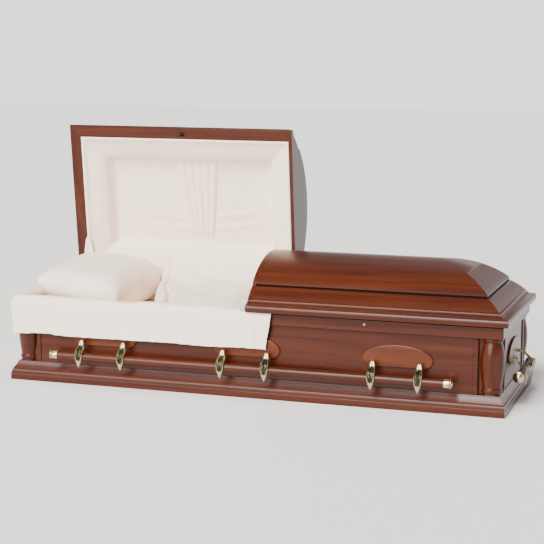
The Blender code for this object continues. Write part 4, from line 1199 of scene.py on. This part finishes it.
def pillow_form():
    """Top and underside over u, v from -1 to 1; both rise from the seam as ((1 - u^8)(1 - v^10))^0.42."""
    turn = np.linspace(-np.pi / 2, np.pi / 2, 90)
    u, v = np.meshgrid(np.sin(turn), np.sin(turn), indexing="ij")
    x = PILLOW_X + PILLOW_HALF_X * u * (1 - ROUNDED_CORNER * v ** 6)
    y = PILLOW_Y + PILLOW_HALF_Y * v * (1 - ROUNDED_CORNER * u ** 6)
    full = np.clip((1 - np.abs(u) ** 8) * (1 - np.abs(v) ** 10), 0, 1) ** 0.42
    crown = (1 - u ** 2) * (1 - v ** 2)
    along, backwards = u / 2 + 0.5, step(v, -1.2, 1.3)
    seam = SEAM_AT_HEAD + (SEAM_AT_FOOT - SEAM_AT_HEAD) * along
    top = seam + (0.040 + 0.022 * along + 0.034 * backwards) * full + 0.028 * crown
    low = np.maximum(seam - (0.045 + 0.031 * along) * full - 0.040 * crown, BED_TOP + 0.002)
    return np.stack([x, y, top], axis=-1), np.stack([x, y, low], axis=-1)


def puff(obj, pressure, cap):
    """Remesh, inflate with the cloth solver, limit each point's travel, and smooth by one subdivision."""
    remesh = obj.modifiers.new("even_mesh", "REMESH")
    remesh.mode = "VOXEL"
    remesh.voxel_size = 0.006
    graph = bpy.context.evaluated_depsgraph_get()
    mesh = bpy.data.meshes.new_from_object(obj.evaluated_get(graph))
    obj.modifiers.clear()
    obj.data = mesh
    before = np.zeros(len(mesh.vertices) * 3)
    mesh.vertices.foreach_get("co", before)
    cloth = obj.modifiers.new("cloth", "CLOTH")
    cloth.settings.use_pressure = True
    cloth.settings.uniform_pressure_force = pressure
    cloth.settings.effector_weights.gravity = 0
    cloth.point_cache.frame_end = SIM_FRAMES
    for number in range(1, SIM_FRAMES + 1):
        bpy.context.scene.frame_set(number)
    graph = bpy.context.evaluated_depsgraph_get()
    after = np.zeros_like(before)
    obj.evaluated_get(graph).data.vertices.foreach_get("co", after)
    obj.modifiers.clear()
    bpy.context.scene.frame_set(1)
    travel = (after - before).reshape(-1, 3)
    reach = np.linalg.norm(travel, axis=1, keepdims=True)
    travel *= np.minimum(1, cap / np.maximum(reach, 1e-9))
    obj.data.vertices.foreach_set("co", (before.reshape(-1, 3) + travel).ravel())
    print(obj.name, "moved up to", round(float(min(cap, reach.max())) * 1000, 1), "mm")
    smoother = obj.modifiers.new("smoother", "SUBSURF")
    smoother.levels = 1
    graph = bpy.context.evaluated_depsgraph_get()
    mesh = bpy.data.meshes.new_from_object(obj.evaluated_get(graph))
    obj.modifiers.clear()
    obj.data = mesh
    obj.data.materials.clear()
    obj.data.materials.append(CREPE)
    obj.data.shade_smooth()
    return obj


pillow_top, pillow_low = pillow_form()
pillow = soft_piece("head_pillow", slab(pillow_top, pillow_low), "case", "pillow")
puff(pillow, 4.0, PILLOW_CAP)
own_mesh(pillow)

# %% [markdown]
# ## The throw
# A quilted throw lies over the middle of the bed. Its near edge is rolled back on itself, so two layers
# show at the fold, and towards the back it rises in front of the open lid. It is one height over the
# bed, low where it goes under the foot lid.

# %% Throw
THROW_LEFT, THROW_RIGHT = -0.425, 0.060
THROW_FRONT, THROW_BACK = -0.290, 0.290
THROW_FLOOR = BED_TOP + 0.001
RAIL_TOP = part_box("rail_front")[1].z
RIM_FLAT_Z = RAIL_TOP - 0.003
THROW_ROLL = 0.034
EDGE_RIDGE, EDGE_GROOVE = 0.010, 0.009
THROW_SWELL, THROW_RIPPLE = 0.0045, 0.002
throw_u, throw_v = np.meshgrid(np.linspace(0, 1, 200) ** 1.5, np.linspace(0, 1, 210), indexing="ij")
# The throw's height over its length from the front rail to the back one.
UPHILL = ((-0.290, 0.351), (-0.20, 0.364), (-0.05, 0.376), (0.12, 0.394), (0.20, 0.420), (0.25, 0.446),
          (0.290, 0.462))
throw_y = THROW_FRONT + (THROW_BACK - THROW_FRONT) * throw_v
lean = 0.010 * np.sin(3 * np.pi * throw_v) - 0.215 * throw_v
throw_x = THROW_LEFT + lean + (THROW_RIGHT - THROW_LEFT - lean) * throw_u
throw_edge = throw_x - THROW_LEFT - lean
uphill = smooth_line(UPHILL, 60)
throw_z = np.interp(throw_y, uphill[:, 0], uphill[:, 1])
throw_z += (THROW_SWELL * soft_noise(throw_x, throw_y, 0.16, 31)
            + THROW_RIPPLE * soft_noise(throw_x, throw_y, 0.07, 32))
throw_z += EDGE_RIDGE * np.exp(-((throw_edge - 0.030) / 0.020) ** 2)
throw_z -= EDGE_GROOVE * np.exp(-((throw_edge - 0.058) / 0.007) ** 2) * (1 - step(throw_y, 0.05, 0.2))
throw_z = np.minimum(throw_z, RAIL_TOP + 0.012 + 0.10 * step(throw_y, -0.27, -0.05))
under_lid = step(throw_x, -0.13, -0.030)
throw_z = throw_z * (1 - under_lid) + np.minimum(throw_z, RIM_FLAT_Z) * under_lid
rolled = np.clip(1 - throw_edge / THROW_ROLL, 0, 1)
throw_floor = np.full_like(throw_z, THROW_FLOOR)
throw_z = throw_floor + 0.004 + (throw_z - throw_floor) * np.sqrt(1 - rolled ** 2)
throw_z = np.maximum(throw_z, throw_floor + 0.0008)
throw_top = np.stack([throw_x, throw_y, throw_z], axis=-1)
throw_back = np.stack([throw_x, throw_y, throw_floor], axis=-1)
throw_back = np.where(throw_top[..., 2:] > throw_back[..., 2:], throw_back, throw_top - (0, 0, 0.0005))
throw = soft_piece("quilted_throw", slab(throw_top, throw_back), "case", "throw")
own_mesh(throw)
print("throw reaches", round(float(throw_z.max()), 3), "m high")

# %% [markdown]
# ## The apron
# A wide band of the same crepe is laid over the head end's rails and hangs outside them. Over the rail
# it is puffed into a soft roll; below, it hangs nearly flat, with faint upright folds and a raw hem. Its
# path is a rectangle with one rounded corner, and its section is carried along it. The roll and the
# hanging part are two pieces that meet along one line.

# %% Apron
RAIL_X, RAIL_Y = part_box("rail_foot")[1].x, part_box("rail_back")[1].y
APRON_START_X, APRON_END_Y = 0.110, 0.290
APRON_SLANT = 0.022
APRON_CORNER = 0.026
APRON_HEM = 0.2060
APRON_LINE = 0.352
APRON_THICK = 0.0022
FOLD_TOP, FOLD_GROWTH = 0.0016, 0.0042
CORNER_SWELL = 0.0035
UNDER_LID_Z = 0.3560
# Both sections: how far out of the rail's face, and how high.
ROLL_SECTION = ((-0.043, 0.342), (-0.040, 0.353), (-0.026, 0.3640), (-0.008, 0.3660), (0.0065, 0.3605),
                (0.0140, APRON_LINE))
HANG_SECTION = ((0.0140, APRON_LINE), (0.0185, 0.340), (0.0195, 0.318), (0.0155, 0.280), (0.0130, 0.245),
                (0.0140, APRON_HEM))
FRONT_POINTS, CORNER_POINTS, HEAD_POINTS = 520, 48, 270


def apron_path(reach):
    """Plan points along the front, round the head-front corner and along the head, out by reach."""
    x, y = RAIL_X + reach, RAIL_Y + reach
    corner = max(APRON_CORNER + reach, 0.003)
    front_x = np.linspace(APRON_START_X, -(x - corner), FRONT_POINTS)
    front = np.column_stack([front_x, np.full(FRONT_POINTS, -y)])
    bend = arc((-(x - corner), -(y - corner)), (corner, corner), 270, 180, CORNER_POINTS)
    head = np.column_stack([np.full(HEAD_POINTS, -x), np.linspace(-(y - corner), APRON_END_Y, HEAD_POINTS)])
    return np.vstack([front, bend[1:], head[1:]])


apron_line = apron_path(0.012)
apron_place = np.concatenate([[0], np.cumsum(np.linalg.norm(np.diff(apron_line, axis=0), axis=1))])
apron_corner_place = apron_place[FRONT_POINTS + CORNER_POINTS // 2]


def apron_grid(section, count, puffiness):
    """The section's points along the path; puffiness lifts the roll, folds swell towards the hem."""
    line = smooth_line(section, count)
    rows = np.array([apron_path(reach) for reach in line[:, 0]])
    place = np.broadcast_to(apron_place, rows.shape[:2])
    height = np.broadcast_to(line[:, 1, None], rows.shape[:2]).copy()
    low = step(APRON_LINE - height, 0.0, APRON_LINE - APRON_HEM)
    folds = soft_noise(place, height * 0.25, 0.110, 41) + 0.5 * soft_noise(place, height * 0.2, 0.045, 42)
    near_corner = np.exp(-((place - apron_corner_place) / 0.10) ** 2)
    corner_swell = CORNER_SWELL * near_corner * (1 - low) * step(APRON_LINE - height, -0.010, 0.03)
    out = (FOLD_TOP + FOLD_GROWTH * low) * folds + corner_swell
    blend = step(place, apron_corner_place - 0.03, apron_corner_place + 0.03)[..., None]
    outward = (1 - blend) * np.array((0.0, -1.0)) + blend * np.array((-1.0, 0.0))
    outward = outward / np.linalg.norm(outward, axis=-1, keepdims=True)
    rows = rows + outward * out[..., None]
    raised = np.clip((height - APRON_LINE) / 0.014, 0, 1)
    height += puffiness * raised * (0.0040 * soft_noise(place, height, 0.14, 43) + 0.002 * near_corner)
    hem = np.clip((APRON_HEM + 0.03 - height) / 0.03, 0, 1)
    flat = np.zeros_like(height)
    height += hem * (0.0030 * soft_noise(place, flat, 0.16, 44) + 0.0016 * soft_noise(place, flat, 0.011, 45))
    rows[..., 0] -= APRON_SLANT * low * step(rows[..., 0], -0.3, APRON_START_X)
    ceiling = UNDER_LID_Z + (1 - step(rows[..., 0], -0.07, -0.012)) * 0.04
    return np.concatenate([rows, np.minimum(height, ceiling)[..., None]], axis=-1)


def apron_faces(section, count, puffiness):
    """One part of the apron as two grids, the second on the case's side."""
    front = apron_grid(section, count, puffiness)
    return front, front + grid_normals(front) * APRON_THICK


roll_front, roll_back = apron_faces(ROLL_SECTION, 26, 1.0)
apron_roll = soft_piece("apron_roll", slab(roll_front, roll_back), "case")
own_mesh(apron_roll)
hang_front, hang_back = apron_faces(HANG_SECTION, 40, 0.0)
apron = soft_piece("apron_drop", slab(hang_front, hang_back), "case", "apron")

# %% [markdown]
# ## The hinge cover
# A strip of crepe bridges the hinge, tacked to the back rail and to the lid, so no wood or metal shows
# behind the pillow. It crosses a joint, so it is bent between the case and the lid as the lid turns.

# %% Hinge cover
COVER_START_X, COVER_END_X = -1.034, -0.012
COVER_SECTION = ((0.2930, 0.3440), (0.2945, 0.3510), (0.2995, 0.3545), (0.3120, 0.3550), (0.3300, 0.3552),
                 (0.3410, 0.3570), (0.3442, 0.3650), (0.3440, 0.3780), (0.3412, 0.4000), (0.3390, 0.4180),
                 (0.3368, 0.4360))
COVER_THICK = 0.0012
COVER_COLUMNS = 420
TAB_X, TAB_RISE = -1.010, 0.104
cover_line = smooth_line(COVER_SECTION, 56)
cover_rows = np.zeros((len(cover_line), COVER_COLUMNS, 3))
cover_rows[..., 0] = np.linspace(COVER_START_X, COVER_END_X, COVER_COLUMNS)
cover_rows[..., 1:] = cover_line[:, None]
cover_upper = step(cover_rows[..., 2], 0.402, 0.430)
cover_wave = soft_noise(cover_rows[..., 0], cover_rows[..., 2], 0.09, 51)
cover_tab = np.exp(-(np.abs(cover_rows[..., 0] - TAB_X) / 0.021) ** 3)
cover_rise = (0.006 * cover_wave + TAB_RISE * cover_tab) * cover_upper
cover_rows[..., 2] += cover_rise
cover_rows[..., 1] -= 0.1228 * cover_rise + 0.0020 * (cover_wave + 1) * cover_upper
cover_tuck = step(cover_rows[..., 2] - cover_rise, 0.424, 0.436) * (1 - np.clip(3 * cover_tab, 0, 1))
cover_rows[..., 1] += 0.010 * cover_tuck
cover_back = cover_rows + grid_normals(cover_rows) * COVER_THICK
cover = soft_piece("hinge_cover", slab(cover_rows, cover_back), None)
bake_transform(cover, "case", "head_lid", start=(0, 0.335, 0.353), end=(0, 0.344, 0.372))

# %% [markdown]
# ## Camera, lights and floor
# The photograph was taken from a little above the lid's height, off to the foot end, with a long lens.
# The casket stands on a pale floor. Two wide suns stand for the studio's lights, one in front and one
# higher up. The sky is bright at the back wall's height and dim overhead, so the lacquer mirrors a dim
# ceiling and keeps its deep colour.

# %% Camera and lights
CAMERA_PLACE = (1.96, -5.96, 1.40)
CAMERA_YAW_DEG = 18.20
CAMERA_PITCH_DEG = 8.42
CAMERA_ROLL_DEG = 0.30
FOCAL_PIXELS = 1488
FRAME_PIXELS = 544
SENSOR = 36.0
camera_data = bpy.data.cameras.new("camera")
camera_data.sensor_width = SENSOR
camera_data.lens = FOCAL_PIXELS / FRAME_PIXELS * SENSOR
camera = bpy.data.objects.new("camera", camera_data)
camera.location = CAMERA_PLACE
turns = ((CAMERA_YAW_DEG, "Z"), (90 - CAMERA_PITCH_DEG, "X"), (CAMERA_ROLL_DEG, "Z"))
yaw, pitch, roll = (Matrix.Rotation(math.radians(degrees), 3, axis) for degrees, axis in turns)
camera.rotation_euler = (yaw @ pitch @ roll).to_euler()
bpy.context.scene.collection.objects.link(camera)
bpy.context.scene.camera = camera

# Each sun: the way its light goes, its power and its width in degrees.
SUNS = (("front_daylight", (0.30, 0.86, -0.42), 4.4, 44), ("high_softbox", (0.10, 0.63, -0.77), 4.2, 28))
for name, heading, power, width_deg in SUNS:
    daylight = bpy.data.lights.new(name, "SUN")
    daylight.energy = power
    daylight.angle = math.radians(width_deg)
    stand = bpy.data.objects.new(name, daylight)
    stand.rotation_euler = Vector(heading).to_track_quat("-Z", "Y").to_euler()
    bpy.context.scene.collection.objects.link(stand)
world = bpy.data.worlds.new("studio")
bpy.context.scene.world = world
world.use_nodes = True
sky_tree = world.node_tree
sky_way = node(sky_tree, "TexCoord", {})
sky_parts = node(sky_tree, "SeparateXYZ", {0: sky_way.outputs["Generated"]})
sky_height = node(sky_tree, "MapRange", {"Value": sky_parts.outputs[2], "From Min": 0.02, "From Max": 0.22,
                                         "To Min": 1.0, "To Max": 0.0})
sky_front = node(sky_tree, "MapRange", {"Value": sky_parts.outputs[1], "From Min": -0.5, "From Max": 0.4,
                                        "To Min": 0.35, "To Max": 1.0})
sky_share = node(sky_tree, "Math", {0: sky_height.outputs[0], 1: sky_front.outputs[0]}, operation="MULTIPLY")
sky_glow = node(sky_tree, "MapRange", {"Value": sky_share.outputs[0], "To Min": 0.42, "To Max": 1.9})
sky_tree.links.new(sky_glow.outputs[0], sky_tree.nodes["Background"].inputs["Strength"])
sky_tree.nodes["Background"].inputs["Color"].default_value = (1, 1, 1, 1)

floor_mesh = bpy.data.meshes.new("floor")
floor_mesh.from_pydata([(-30, -30, 0), (30, -30, 0), (30, 30, 0), (-30, 30, 0)], [], [(0, 1, 2, 3)])
floor = bpy.data.objects.new("floor", floor_mesh)
bpy.context.scene.collection.objects.link(floor)
floor_paint, _, floor_shader = bare_material("matt_white_floor", 0.8)
floor_shader.inputs["Base Color"].default_value = linear("#f4f2ef")
floor_mesh.materials.append(floor_paint)
print("camera lens", round(camera_data.lens, 1), "mm")
